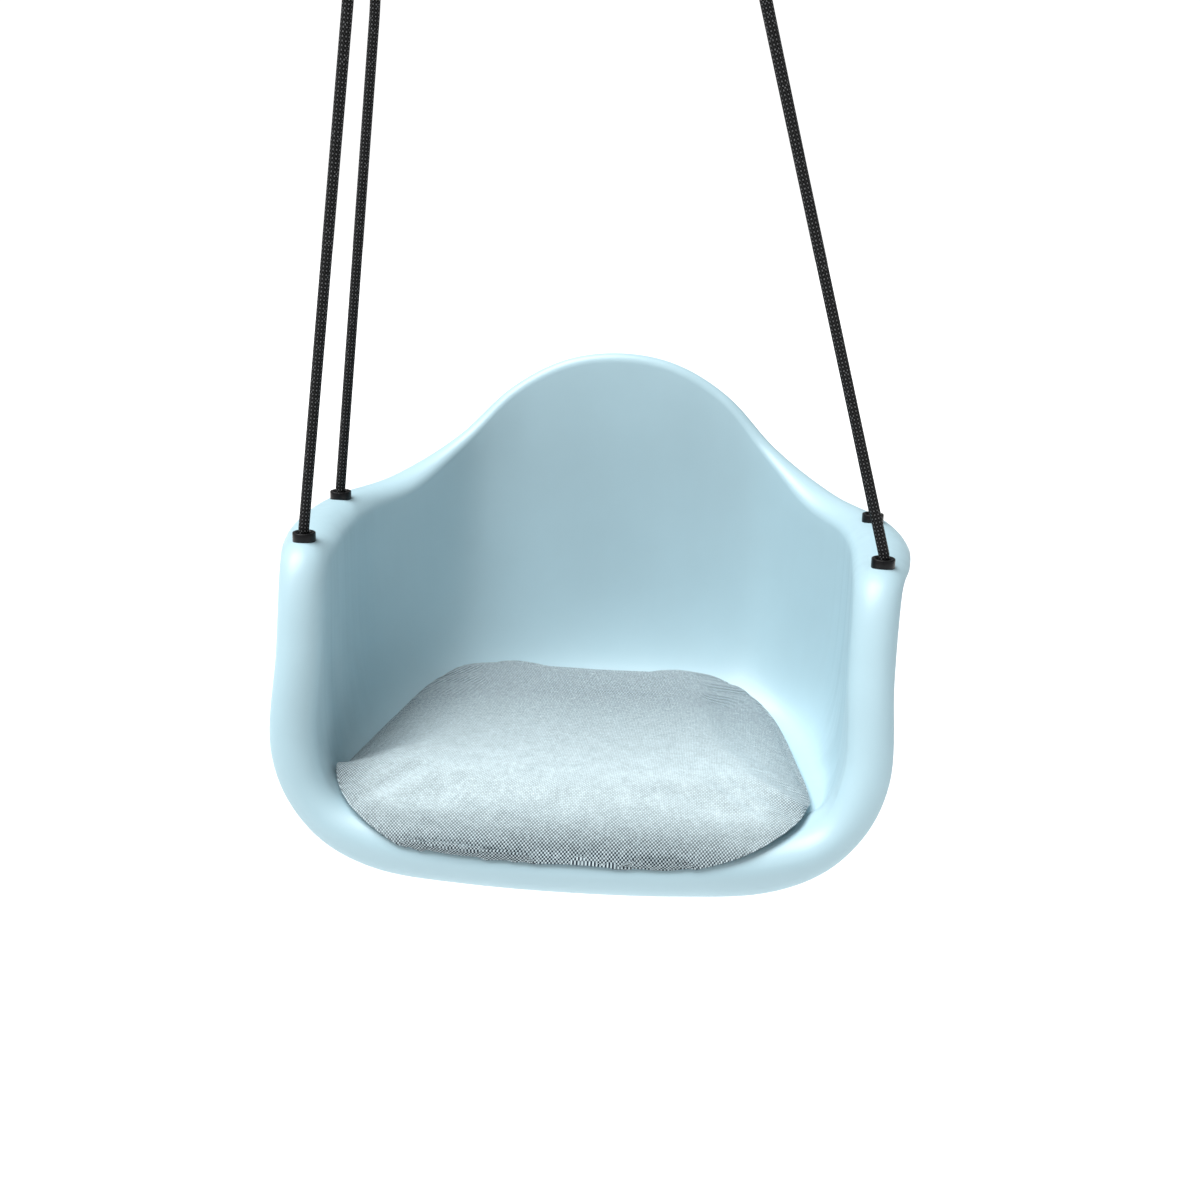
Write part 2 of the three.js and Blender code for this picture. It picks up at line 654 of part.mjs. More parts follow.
function gateGeometry() {
  const bend = HOOK_BEND_R;
  const low = PIN_Z - GATE_R;
  const bar = turned([
    [0, low], [GATE_R * 0.7, low], [GATE_R, low + 1.2], [GATE_R, GATE_TOP - 0.5],
    [GATE_R - 0.5, GATE_TOP], [0, GATE_TOP],
  ], 12);
  place(bar, bend, 0, 0);
  const fork = box(2 * GATE_R + 2, TANG_THICK + 0.8, 10, bend, 0, PIN_Z - 0.4);
  // Deep enough for the slot's floor to swing under the tongue.
  const slot = box(2 * GATE_R, 3.2, 9, bend + GATE_R - 1.7, 0, GATE_TOP);
  const pinHole = rod(PIN_R + 0.25, -10, 10, 12);
  pinHole.rotateX(Math.PI / 2);
  place(pinHole, bend, 0, PIN_Z);
  let solid = solidOf(bar);
  for (const cut of [fork, slot, pinHole]) solid = solid.subtract(solidOf(cut));
  return geometryOf(solid);
}

function pinGeometry() {
  const pin = rod(PIN_R, -GATE_R - 0.3, GATE_R + 0.3, 12);
  pin.rotateX(Math.PI / 2);
  return place(pin, HOOK_BEND_R, 0, PIN_Z);
}

// ---------------------------------------------------------------- assembly

const swing = new THREE.Group();

function add(parent, name, geometry, finish) {
  const mesh = new THREE.Mesh(geometry, finish);
  mesh.name = name;
  parent.add(mesh);
}

function addSeat() {
  add(swing, 'seat_shell', shellGeometry(), SHELL_BLUE);
  add(swing, 'cushion_cover', coverGeometry(), CUSHION_WEAVE);
  add(swing, 'cushion_foam', foamGeometry(), CUSHION_FOAM);
  add(swing, 'cushion_base', baseGeometry(), CUSHION_BACKING);
}

function addBushing(corner) {
  const bushing = new THREE.Group();
  bushing.position.set(corner.x, corner.y, corner.collarFoot);
  add(bushing, `bushing_${corner.name}`, bushingGeometry(), BLACK_PLASTIC);
  add(bushing, `washer_${corner.name}`, washerGeometry(), STEEL);
  add(bushing, `lock_nut_${corner.name}`, nutGeometry(), BLACK_PLASTIC);
  add(bushing, `stopper_knot_${corner.name}`, knotGeometry(), ROPE_BLACK);
  swing.add(bushing);
}

function addRope(corner) {
  const line = new THREE.Group();
  line.position.set(corner.x, corner.y, corner.pivotZ);
  line.rotation.y = corner.lean;
  add(line, `rope_${corner.name}`, ropeGeometry(corner.length), ROPE_BLACK);
  add(line, `thimble_${corner.name}`, thimbleGeometry(corner.length), STEEL);
  add(line, `ferrule_${corner.name}`, ferruleGeometry(corner.length), BLACK_STEEL);
  const hook = new THREE.Group();
  hook.position.z = corner.length;
  add(hook, `snap_hook_${corner.name}`, hookGeometry(), STEEL);
  add(hook, `gate_${corner.name}`, gateGeometry(), STEEL);
  add(hook, `gate_pin_${corner.name}`, pinGeometry(), STEEL);
  line.add(hook);
  swing.add(line);
}

addSeat();
for (const corner of CORNERS) {
  addBushing(corner);
  addRope(corner);
}

// Move the origin to the bearing point of the front left hook.
const [first] = CORNERS;
const reach = first.length + HOOK_TOP - HOOK_WIRE_R;
swing.position.set(
  -first.x - reach * Math.sin(first.lean),
  -first.y,
  -first.pivotZ - reach * Math.cos(first.lean),
);

export default swing;
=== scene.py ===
"""Armchair-shell rope swing: moulded shell, woven cushion, braided ropes and their fittings."""

import json
import math

import bmesh
import bpy
import numpy as np
from bpy.props import FloatProperty, FloatVectorProperty, PointerProperty
from mathutils import Matrix, Vector
from mathutils.bvhtree import BVHTree


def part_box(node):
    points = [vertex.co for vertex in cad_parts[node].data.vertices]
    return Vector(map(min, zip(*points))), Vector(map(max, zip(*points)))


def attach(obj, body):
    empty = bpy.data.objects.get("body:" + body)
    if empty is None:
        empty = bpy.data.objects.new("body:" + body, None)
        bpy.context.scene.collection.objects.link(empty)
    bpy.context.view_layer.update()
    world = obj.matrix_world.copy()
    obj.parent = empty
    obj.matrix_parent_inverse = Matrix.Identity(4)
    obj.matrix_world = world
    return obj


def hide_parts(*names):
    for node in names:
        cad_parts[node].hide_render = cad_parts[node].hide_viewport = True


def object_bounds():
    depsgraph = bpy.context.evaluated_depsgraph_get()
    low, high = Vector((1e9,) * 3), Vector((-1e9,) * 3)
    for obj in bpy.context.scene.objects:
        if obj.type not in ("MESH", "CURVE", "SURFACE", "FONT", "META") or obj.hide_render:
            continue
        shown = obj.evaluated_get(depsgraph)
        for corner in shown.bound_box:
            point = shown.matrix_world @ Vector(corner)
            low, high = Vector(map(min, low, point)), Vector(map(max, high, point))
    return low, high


bl_info = {
    "name": "Rope Swing Seat",
    "version": (1, 0, 0),
    "blender": (4, 5, 0),
    "location": "3D View > Sidebar > Swing",
    "description": "Builds a moulded swing seat with its cushion, ropes and fittings",
    "category": "Add Mesh",
}

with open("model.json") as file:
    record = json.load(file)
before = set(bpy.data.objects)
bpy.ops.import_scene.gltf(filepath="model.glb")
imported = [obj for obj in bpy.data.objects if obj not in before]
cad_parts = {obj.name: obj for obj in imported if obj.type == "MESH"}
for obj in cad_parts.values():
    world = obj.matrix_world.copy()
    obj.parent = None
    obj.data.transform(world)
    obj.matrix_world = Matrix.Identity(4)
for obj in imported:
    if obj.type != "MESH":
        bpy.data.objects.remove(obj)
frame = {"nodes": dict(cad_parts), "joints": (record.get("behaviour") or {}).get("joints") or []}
CAD_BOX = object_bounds()
JOINTS = {joint["name"]: joint for joint in frame["joints"]}

MM = 0.001
CORNERS = ("front_left", "front_right", "rear_left", "rear_right")
PIVOT_ABOVE_COLLAR = 3.6 * MM
# The front left line's lower pivot in the shell's own millimetres, and the shell's origin from it.
LOWER_PIVOT = Vector((-268, -84, 244.186))
SEAT = Vector(JOINTS["seat_level"]["pos_m"]) - LOWER_PIVOT * MM


# ---------------------------------------------------------------- settings


class SwingSizes(bpy.types.PropertyGroup):
    rope_diameter: FloatProperty(
        name="Rope Diameter", description="Diameter of the braided ropes",
        default=0.010, min=0.008, max=0.012, unit="LENGTH",
    )
    shell_wall: FloatProperty(
        name="Shell Wall", description="Thickness of the moulded shell",
        default=0.0048, min=0.003, max=0.006, unit="LENGTH",
    )
    yarn_pitch: FloatProperty(
        name="Yarn Pitch", description="Distance between neighbouring yarns of the cushion cloth",
        default=0.0016, min=0.0008, max=0.004, unit="LENGTH",
    )
    cushion_swell: FloatProperty(
        name="Cushion Swell", description="How far the stuffing may push the cushion cloth out",
        default=0.006, min=0.0, max=0.016, unit="LENGTH",
    )


class SwingColours(bpy.types.PropertyGroup):
    shell: FloatVectorProperty(
        name="Shell", description="Moulded plastic of the shell", subtype="COLOR",
        size=4, min=0, max=1, default=(0.42, 0.595, 0.665, 1),
    )
    yarn_light: FloatVectorProperty(
        name="Light Yarn", description="Pale yarn of the cushion cloth", subtype="COLOR",
        size=4, min=0, max=1, default=(0.42, 0.525, 0.565, 1),
    )
    yarn_dark: FloatVectorProperty(
        name="Dark Yarn", description="Dark yarn of the cushion cloth", subtype="COLOR",
        size=4, min=0, max=1, default=(0.012, 0.024, 0.036, 1),
    )
    rope: FloatVectorProperty(
        name="Rope", description="Main yarn of the ropes", subtype="COLOR",
        size=4, min=0, max=1, default=(0.003, 0.0032, 0.0034, 1),
    )
    fleck: FloatVectorProperty(
        name="Rope Fleck", description="Tracer yarn in the ropes", subtype="COLOR",
        size=4, min=0, max=1, default=(0.14, 0.145, 0.15, 1),
    )
    floor: FloatVectorProperty(
        name="Floor", description="Studio floor", subtype="COLOR",
        size=4, min=0, max=1, default=(0.90, 0.90, 0.90, 1),
    )


# ---------------------------------------------------------------- mesh helpers


def finished(bm, name, smooth=True):
    """Puts a finished bmesh into a new object at the origin."""
    mesh = bpy.data.meshes.new(name)
    bm.to_mesh(mesh)
    bm.free()
    for polygon in mesh.polygons:
        polygon.use_smooth = smooth
    obj = bpy.data.objects.new(name, mesh)
    bpy.context.scene.collection.objects.link(obj)
    return obj


def closed(bm, gap=1e-6):
    """Merges doubles and turns every face outwards."""
    bmesh.ops.remove_doubles(bm, verts=bm.verts[:], dist=gap)
    bmesh.ops.recalc_face_normals(bm, faces=bm.faces[:])
    return bm


def skin(columns, rows, point, uv=None):
    """A grid laid over a surface: point(i, j) gives the place of each crossing."""
    bm = bmesh.new()
    layer = bm.loops.layers.uv.new("Weave")
    bmesh.ops.create_grid(bm, x_segments=columns, y_segments=rows, size=0.5, calc_uvs=False)
    cell = {v: (round((v.co.x + 0.5) * columns), round((v.co.y + 0.5) * rows)) for v in bm.verts}
    if uv:
        for face in bm.faces:
            for loop in face.loops:
                loop[layer].uv = uv(*cell[loop.vert])
    for vert, (i, j) in cell.items():
        vert.co = point(i, j)
    return bm


def turned(name, profile, at, steps=64, bevel=0.0):
    """A solid of revolution about a vertical axis from a closed profile of (radius, height)."""
    bm = bmesh.new()
    corners = [bm.verts.new((r * MM, 0, z * MM)) for r, z in profile]
    ends = profile[0][0] > 0 and profile[-1][0] > 0
    pairs = list(zip(corners, corners[1:])) + ([(corners[-1], corners[0])] if ends else [])
    edges = [bm.edges.new(pair) for pair in pairs]
    bmesh.ops.spin(
        bm, geom=corners + edges, cent=(0, 0, 0), axis=(0, 0, 1),
        angle=2 * math.pi, steps=steps, use_merge=True, use_duplicate=False,
    )
    closed(bm)
    bmesh.ops.translate(bm, vec=at, verts=bm.verts[:])
    obj = finished(bm, name)
    if bevel:
        soften(obj, bevel)
    return obj


def soften(obj, width, segments=3, angle=35):
    """Rounds the sharp edges of a piece."""
    modifier = obj.modifiers.new("Bevel", "BEVEL")
    modifier.width = width * MM
    modifier.segments = segments
    modifier.limit_method = "ANGLE"
    modifier.angle_limit = math.radians(angle)
    modifier.harden_normals = False
    return modifier


def framed(points):
    """Tangent and two normals at every point of a path, carried along without twisting."""
    tangents = []
    for i, _ in enumerate(points):
        way = points[min(i + 1, len(points) - 1)] - points[max(i - 1, 0)]
        tangents.append(way.normalized())
    side = tangents[0].orthogonal().normalized()
    frames = []
    for tangent in tangents:
        side = (side - tangent * side.dot(tangent)).normalized()
        frames.append((tangent, side, tangent.cross(side)))
    return frames


def tube(points, radius, sides=16, round_ends=False, loop=False):
    """A round tube along a path, with distance along and share around as its UVs."""
    frames = framed(points)
    stations = []
    travelled = 0.0
    for i, (point, basis) in enumerate(zip(points, frames)):
        travelled += (point - points[i - 1]).length if i else 0.0
        stations.append((point, basis, radius, travelled))
    if not loop:
        caps = [math.radians(a) for a in (0.5, 18, 36, 54, 72)]
        head, tail = stations[0], stations[-1]
        start, end = [], []
        for a in caps:
            reach = radius * math.cos(a) if round_ends else 0.0
            start.append((head[0] - head[1][0] * reach, head[1], radius * math.sin(a), -reach))
            end.append((tail[0] + tail[1][0] * reach, tail[1], radius * math.sin(a), tail[3] + reach))
        stations = start + stations + end[::-1]
    rows = len(stations) - 1

    def point_at(i, j):
        middle, (_, side, up), r, _ = stations[j]
        a = 2 * math.pi * i / sides
        return middle + side * (r * math.cos(a)) + up * (r * math.sin(a))

    bm = skin(sides, rows, point_at, uv=lambda i, j: (i / sides, stations[j][3]))
    closed(bm)
    ends = [edge for edge in bm.edges if edge.is_boundary]
    if ends and not loop:
        bmesh.ops.holes_fill(bm, edges=ends, sides=0)
        bmesh.ops.recalc_face_normals(bm, faces=bm.faces[:])
    return bm


def block(size, at):
    """A block with its middle at a point."""
    bm = bmesh.new()
    bmesh.ops.create_cube(bm, size=1.0)
    bmesh.ops.scale(bm, vec=[s * MM for s in size], verts=bm.verts[:])
    bmesh.ops.translate(bm, vec=[a * MM for a in at], verts=bm.verts[:])
    return bm


def joined(parts):
    """One bmesh holding all of the parts."""
    whole = parts[0]
    for part in parts[1:]:
        mesh = bpy.data.meshes.new("part")
        part.to_mesh(mesh)
        part.free()
        whole.from_mesh(mesh)
        bpy.data.meshes.remove(mesh)
    return whole


def dress(obj, material, body, slot, *nodes):
    """Gives a piece its finish and its body, and hides the CAD nodes it stands for."""
    obj.data.materials.clear()
    obj.data.materials.append(material)
    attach(obj, body)
    if nodes:
        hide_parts(*nodes)
    return obj


# ---------------------------------------------------------------- shader helpers


class Graph:
    """Adds and joins nodes in a tree."""

    def __init__(self, tree):
        self.tree = tree
        self.column = 0

    def node(self, kind, inputs=None, **settings):
        made = self.tree.nodes.new(kind)
        made.location = (180 * self.column, 0)
        self.column += 1
        for key, value in settings.items():
            setattr(made, key, value)
        for key, value in (inputs or {}).items():
            self.put(made.inputs[key], value)
        return made

    def put(self, socket, value):
        if isinstance(value, bpy.types.NodeSocket):
            self.tree.links.new(value, socket)
        else:
            socket.default_value = value

    def math(self, operation, a, b=0.0, clamp=False):
        made = self.node("ShaderNodeMath", {0: a, 1: b}, operation=operation, use_clamp=clamp)
        return made.outputs[0]

    def mix(self, factor, a, b):
        made = self.node("ShaderNodeMix", data_type="RGBA")
        self.put(made.inputs["Factor"], factor)
        self.put(made.inputs[6], a)
        self.put(made.inputs[7], b)
        return made.outputs[2]

    def noise(self, vector, scale, detail=3.0, roughness=0.55):
        made = self.node(
            "ShaderNodeTexNoise",
            {"Vector": vector, "Scale": scale, "Detail": detail, "Roughness": roughness},
        )
        return made.outputs["Fac"]

    def spread(self, value, low, high, to_low, to_high):
        made = self.node(
            "ShaderNodeMapRange",
            {"Value": value, "From Min": low, "From Max": high, "To Min": to_low, "To Max": to_high},
        )
        return made.outputs[0]


def group_named(name, inputs, outputs):
    """A new node group with its sockets, its graph, its input node and its output node."""
    tree = bpy.data.node_groups.new(name, "ShaderNodeTree")
    for socket, kind in inputs:
        tree.interface.new_socket(name=socket, in_out="INPUT", socket_type=kind)
    for socket, kind in outputs:
        tree.interface.new_socket(name=socket, in_out="OUTPUT", socket_type=kind)
    graph = Graph(tree)
    return tree, graph, graph.node("NodeGroupInput"), graph.node("NodeGroupOutput")


def yarn_group():
    """Plain crossing of two sets of yarns, one cell to each crossing."""
    name = "Crossing Yarns"
    if name in bpy.data.node_groups:
        return bpy.data.node_groups[name]
    tree, g, given, result = group_named(
        name,
        [("Cells", "NodeSocketVector"), ("Thickness", "NodeSocketFloat")],
        [
            ("Over", "NodeSocketFloat"),
            ("Height", "NodeSocketFloat"),
            ("Yarn Random", "NodeSocketFloat"),
        ],
    )
    xyz = g.node("ShaderNodeSeparateXYZ", {0: given.outputs["Cells"]})
    a, b = xyz.outputs[0], xyz.outputs[1]
    cell_a, cell_b = g.math("FLOOR", a), g.math("FLOOR", b)
    over = g.math("MODULO", g.math("ABSOLUTE", g.math("ADD", cell_a, cell_b)), 2.0)
    across_a = g.math("SUBTRACT", g.math("FRACT", a), 0.5)
    across_b = g.math("SUBTRACT", g.math("FRACT", b), 0.5)

    def bulge(across, along):
        side = g.math("COSINE", g.math("MULTIPLY", across, math.pi))
        end = g.math("COSINE", g.math("MULTIPLY", along, math.pi * 0.8))
        round_top = g.math("POWER", g.math("MAXIMUM", side, 0.0), given.outputs["Thickness"])
        return g.math("MULTIPLY", round_top, end)

    first, second = bulge(across_a, across_b), bulge(across_b, across_a)
    under = g.math("SUBTRACT", 1.0, over)
    height = g.math("ADD", g.math("MULTIPLY", first, over), g.math("MULTIPLY", second, under))
    key = g.node("ShaderNodeCombineXYZ", {0: cell_a, 1: cell_b, 2: over})
    random = g.node("ShaderNodeTexWhiteNoise", {"Vector": key.outputs[0]}, noise_dimensions="3D")
    g.put(result.inputs["Over"], over)
    g.put(result.inputs["Height"], height)
    g.put(result.inputs["Yarn Random"], random.outputs["Value"])
    return tree


def handling_group():
    """Slow cloudiness and fine specks that handling leaves on a surface."""
    name = "Handling Marks"
    if name in bpy.data.node_groups:
        return bpy.data.node_groups[name]
    tree, g, given, result = group_named(
        name,
        [
            ("Place", "NodeSocketVector"),
            ("Cloud Scale", "NodeSocketFloat"),
            ("Speck Scale", "NodeSocketFloat"),
        ],
        [("Cloud", "NodeSocketFloat"), ("Specks", "NodeSocketFloat")],
    )
    cloud = g.noise(given.outputs["Place"], given.outputs["Cloud Scale"], 4.0, 0.5)
    specks = g.noise(given.outputs["Place"], given.outputs["Speck Scale"], 2.0, 0.6)
    g.put(result.inputs["Cloud"], g.spread(cloud, 0.3, 0.7, 0.0, 1.0))
    g.put(result.inputs["Specks"], g.spread(specks, 0.35, 0.75, 0.0, 1.0))
    return tree


def new_material(name, **sockets):
    """A material with a Principled BSDF, its graph and its shader node."""
    material = bpy.data.materials.new(name)
    material.use_nodes = True
    material.node_tree.nodes.clear()
    graph = Graph(material.node_tree)
    output = graph.node("ShaderNodeOutputMaterial")
    shader = graph.node("ShaderNodeBsdfPrincipled")
    graph.put(output.inputs["Surface"], shader.outputs[0])
    for socket, value in sockets.items():
        shader.inputs[socket.replace("_", " ")].default_value = value
    return material, graph, shader


def object_place(graph):
    return graph.node("ShaderNodeTexCoord").outputs["Object"]


def marks(graph, place, cloud_scale, speck_scale):
    made = graph.node("ShaderNodeGroup", node_tree=handling_group())
    graph.put(made.inputs["Place"], place)
    made.inputs["Cloud Scale"].default_value = cloud_scale
    made.inputs["Speck Scale"].default_value = speck_scale
    return made.outputs["Cloud"], made.outputs["Specks"]


def bumped(graph, shader, height, strength, distance):
    made = graph.node("ShaderNodeBump", {"Height": height, "Strength": strength, "Distance": distance})
    graph.put(shader.inputs["Normal"], made.outputs[0])
    return made


def shell_finish(colour):
    """Moulded plastic: a soft gloss with faint vertical flow lines from the mould."""
    if "Moulded Shell" in bpy.data.materials:
        return bpy.data.materials["Moulded Shell"]
    material, g, shader = new_material("Moulded Shell", IOR=1.5, Coat_Roughness=0.2)
    place = object_place(g)
    cloud, specks = marks(g, place, 7.0, 900.0)
    stretched = g.node("ShaderNodeMapping", {"Vector": place, "Scale": (34.0, 34.0, 2.2)})
    flow = g.noise(stretched.outputs[0], 1.0, 3.0, 0.6)
    deep = tuple(c * 0.94 for c in colour[:3]) + (1.0,)
    tone = g.mix(cloud, colour, deep)
    g.put(shader.inputs["Base Color"], tone)
    rough = g.math("ADD", g.spread(flow, 0.3, 0.7, 0.34, 0.44), g.math("MULTIPLY", specks, 0.03))
    g.put(shader.inputs["Roughness"], rough)
    g.put(shader.inputs["Coat Weight"], g.spread(flow, 0.45, 0.75, 0.0, 0.2))
    height = g.math("ADD", g.math("MULTIPLY", flow, 0.5), g.math("MULTIPLY", specks, 0.04))
    bumped(g, shader, height, 0.25, 0.0006)
    return material


def cloth_finish(light, dark, pitch):
    """Two-tone hopsack cloth, its yarns laid along the cushion's own UV map."""
    if "Hopsack Cloth" in bpy.data.materials:
        return bpy.data.materials["Hopsack Cloth"]
    material, g, shader = new_material(
        "Hopsack Cloth", Roughness=0.95, Sheen_Weight=0.12, Sheen_Roughness=0.5, IOR=1.35,
    )
    laid = g.node("ShaderNodeUVMap", uv_map="Weave").outputs[0]
    cells = g.node("ShaderNodeVectorMath", {0: laid}, operation="SCALE")
    cells.inputs["Scale"].default_value = 1.0 / pitch
    yarns = g.node("ShaderNodeGroup", node_tree=yarn_group())
    g.put(yarns.inputs["Cells"], cells.outputs[0])
    yarns.inputs["Thickness"].default_value = 0.6
    random = yarns.outputs["Yarn Random"]
    painted_light_patches = g.noise(cells.outputs[0], 0.09, 3.0, 0.6)
    mottle = g.noise(cells.outputs[0], 0.35, 3.0, 0.7)
    fuzz = g.noise(cells.outputs[0], 2.6, 2.0, 0.7)
    pale = g.mix(g.spread(random, 0.0, 1.0, 0.0, 0.5), light, (0.60, 0.70, 0.74, 1))
    deep = g.mix(g.spread(random, 0.6, 1.0, 0.0, 0.3), dark, light)
    crossing = g.mix(yarns.outputs["Over"], deep, pale)
    # Painted light: the top is painted paler at its front, fading darker towards the rear in patches, and the
    # turned sides keep the yarns' full contrast.
    where = g.node("ShaderNodeSeparateXYZ", {0: laid})
    aside = g.math("ABSOLUTE", g.math("SUBTRACT", where.outputs[0], PAD_X * MM))
    front = g.spread(where.outputs[1], -0.24, -0.19, 0.0, 1.0)
    rear = g.spread(where.outputs[1], -0.14, 0.06, 1.0, 0.1)
    painted_light_zone = g.math("MULTIPLY", g.math("MULTIPLY", front, rear), g.spread(aside, 0.17, 0.235, 1.0, 0.0))
    painted_light_zone = g.math("MULTIPLY", painted_light_zone, g.spread(painted_light_patches, 0.3, 0.7, 0.6, 0.85))
    painted_lit_crossing = g.mix(painted_light_zone, crossing, (0.62, 0.75, 0.79, 1))
    # Painted shade: the grooves between the yarns are darkened; fuzz and mottle vary the tone at random.
    painted_groove_shade = g.spread(yarns.outputs["Height"], 0.0, 0.55, 0.4, 1.0)
    shade = g.math("MULTIPLY", painted_groove_shade, g.spread(fuzz, 0.3, 0.7, 0.86, 1.08))
    shade = g.math("MULTIPLY", shade, g.spread(mottle, 0.3, 0.7, 0.84, 1.12))
    toned = g.node("ShaderNodeMix", data_type="RGBA", blend_type="MULTIPLY")
    toned.inputs["Factor"].default_value = 1.0
    g.put(toned.inputs[6], painted_lit_crossing)
    tint = g.node("ShaderNodeCombineColor", {0: shade, 1: shade, 2: shade})
    g.put(toned.inputs[7], tint.outputs[0])
    g.put(shader.inputs["Base Color"], toned.outputs[2])
    height = g.math("ADD", yarns.outputs["Height"], g.math("MULTIPLY", fuzz, 0.25))
    bumped(g, shader, height, 0.6, 0.0005)
    return material


def rope_finish(colour, fleck, diameter):
    """Black braid: crossing strands run round the rope both ways, some with a grey tracer."""
    if "Braided Rope" in bpy.data.materials:
        return bpy.data.materials["Braided Rope"]
    material, g, shader = new_material(
        "Braided Rope", Roughness=0.6, IOR=1.25,
    )
    laid = g.node("ShaderNodeUVMap", uv_map="Weave").outputs[0]
    xyz = g.node("ShaderNodeSeparateXYZ", {0: laid})
    around = g.math("MULTIPLY", xyz.outputs[0], 10.0)
    along = g.math("MULTIPLY", xyz.outputs[1], 10.0 / (math.pi * diameter) * 0.85)
    cells = g.node("ShaderNodeCombineXYZ")
    g.put(cells.inputs[0], g.math("ADD", around, along))
    g.put(cells.inputs[1], g.math("SUBTRACT", around, along))
    yarns = g.node("ShaderNodeGroup", node_tree=yarn_group())
    g.put(yarns.inputs["Cells"], cells.outputs[0])
    yarns.inputs["Thickness"].default_value = 0.5
    fibre = g.noise(cells.outputs[0], 7.0, 2.0, 0.6)
    tracer = g.math("GREATER_THAN", yarns.outputs["Yarn Random"], 0.93)
    peak = g.spread(yarns.outputs["Height"], 0.62, 0.98, 0.0, 1.0)
    # Painted highlight: the crests of the strands, more so those lying over, are painted a lighter grey.
    painted_crest_highlight = g.math("MULTIPLY", peak, g.spread(yarns.outputs["Over"], 0.0, 1.0, 0.15, 1.0))
    shine = g.math("MULTIPLY", g.spread(fibre, 0.3, 0.7, 0.5, 1.0), painted_crest_highlight)
    lit = g.mix(shine, colour, (0.20, 0.205, 0.21, 1))
    g.put(shader.inputs["Base Color"], g.mix(g.math("MULTIPLY", tracer, peak), lit, fleck))
    height = g.math("ADD", yarns.outputs["Height"], g.math("MULTIPLY", fibre, 0.15))
    bumped(g, shader, height, 1.0, 0.0014)
    return material


def plastic_finish():
    """Black nylon with a fine moulded texture and slightly polished high spots."""
    if "Black Nylon" in bpy.data.materials:
        return bpy.data.materials["Black Nylon"]
    material, g, shader = new_material("Black Nylon", IOR=1.3)
    cloud, specks = marks(g, object_place(g), 60.0, 1800.0)
    g.put(shader.inputs["Base Color"], g.mix(cloud, (0.005, 0.005, 0.0055, 1), (0.009, 0.009, 0.01, 1)))
    g.put(shader.inputs["Roughness"], g.spread(cloud, 0.0, 1.0, 0.26, 0.38))
    bumped(g, shader, specks, 0.25, 0.00015)
    return material


def steel_finish(name, base, dull, rough_low, rough_high, metallic=1.0):
    """Metal with cloudy roughness and small handling specks."""
    if name in bpy.data.materials:
        return bpy.data.materials[name]
    material, g, shader = new_material(name, Metallic=metallic)
    cloud, specks = marks(g, object_place(g), 90.0, 1400.0)
    g.put(shader.inputs["Base Color"], g.mix(g.math("MULTIPLY", cloud, 0.6), base, dull))
    rough = g.math("ADD", g.spread(cloud, 0.0, 1.0, rough_low, rough_high), g.math("MULTIPLY", specks, 0.06))
    g.put(shader.inputs["Roughness"], rough)
    bumped(g, shader, specks, 0.2, 0.0001)
    return material


def zinc():
    return steel_finish("Zinc Plated Steel", (0.62, 0.63, 0.64, 1), (0.45, 0.46, 0.48, 1), 0.2, 0.36)


def black_steel():
    return steel_finish("Blackened Steel", (0.03, 0.03, 0.033, 1), (0.05, 0.05, 0.055, 1), 0.35, 0.5, 0.7)


# ---------------------------------------------------------------- lines from seat to hook

EYE_R = 20
THROAT_R = 22
STRAND_OFFSET = 5.3
EYE_DROP = 4.7
FERRULE_LENGTH = 30
FERRULE_GAP = 2
BEND_LENGTH = 45
ROPE_END_INSIDE = 3
THROAT_RISE = math.sqrt((EYE_R + THROAT_R) ** 2 - (STRAND_OFFSET + THROAT_R) ** 2)
THROAT_ANGLE = math.atan2(THROAT_RISE, STRAND_OFFSET + THROAT_R)


def collar_top(corner):
    low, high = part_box(f"bushing_{corner}")
    return Vector(((low.x + high.x) / 2, (low.y + high.y) / 2, high.z))


class Line:
    """One rope's own frame: its lower pivot, its length and the lean of its way up."""

    def __init__(self, corner):
        joint = JOINTS["swing" if corner == "front_left" else f"swing_{corner}"]
        self.corner = corner
        self.low = collar_top(corner) + Vector((0, 0, PIVOT_ABOVE_COLLAR))
        self.high = Vector(joint["pos_m"])
        self.length = (self.high - self.low).length / MM
        way = (self.high - self.low).normalized()
        side = Vector((way.z, 0, -way.x)).normalized()
        self.turn = Matrix((side, way.cross(side), way)).transposed().to_4x4()
        self.body = f"line_{corner}"

    def place(self, start=None):
        """From the line's frame, in metres, to the row frame."""
        return Matrix.Translation(self.low if start is None else start) @ self.turn

    def put(self, bm, start=None):
        bmesh.ops.transform(bm, matrix=self.place(start), verts=bm.verts[:])
        return bm


def arc(centre_y, centre_z, radius, start, end, steps):
    turns = [start + (end - start) * i / steps for i in range(steps + 1)]
    return [(0.0, centre_y + radius * math.cos(a), centre_z + radius * math.sin(a)) for a in turns]


def metres(points):
    return [Vector(p) * MM for p in points]


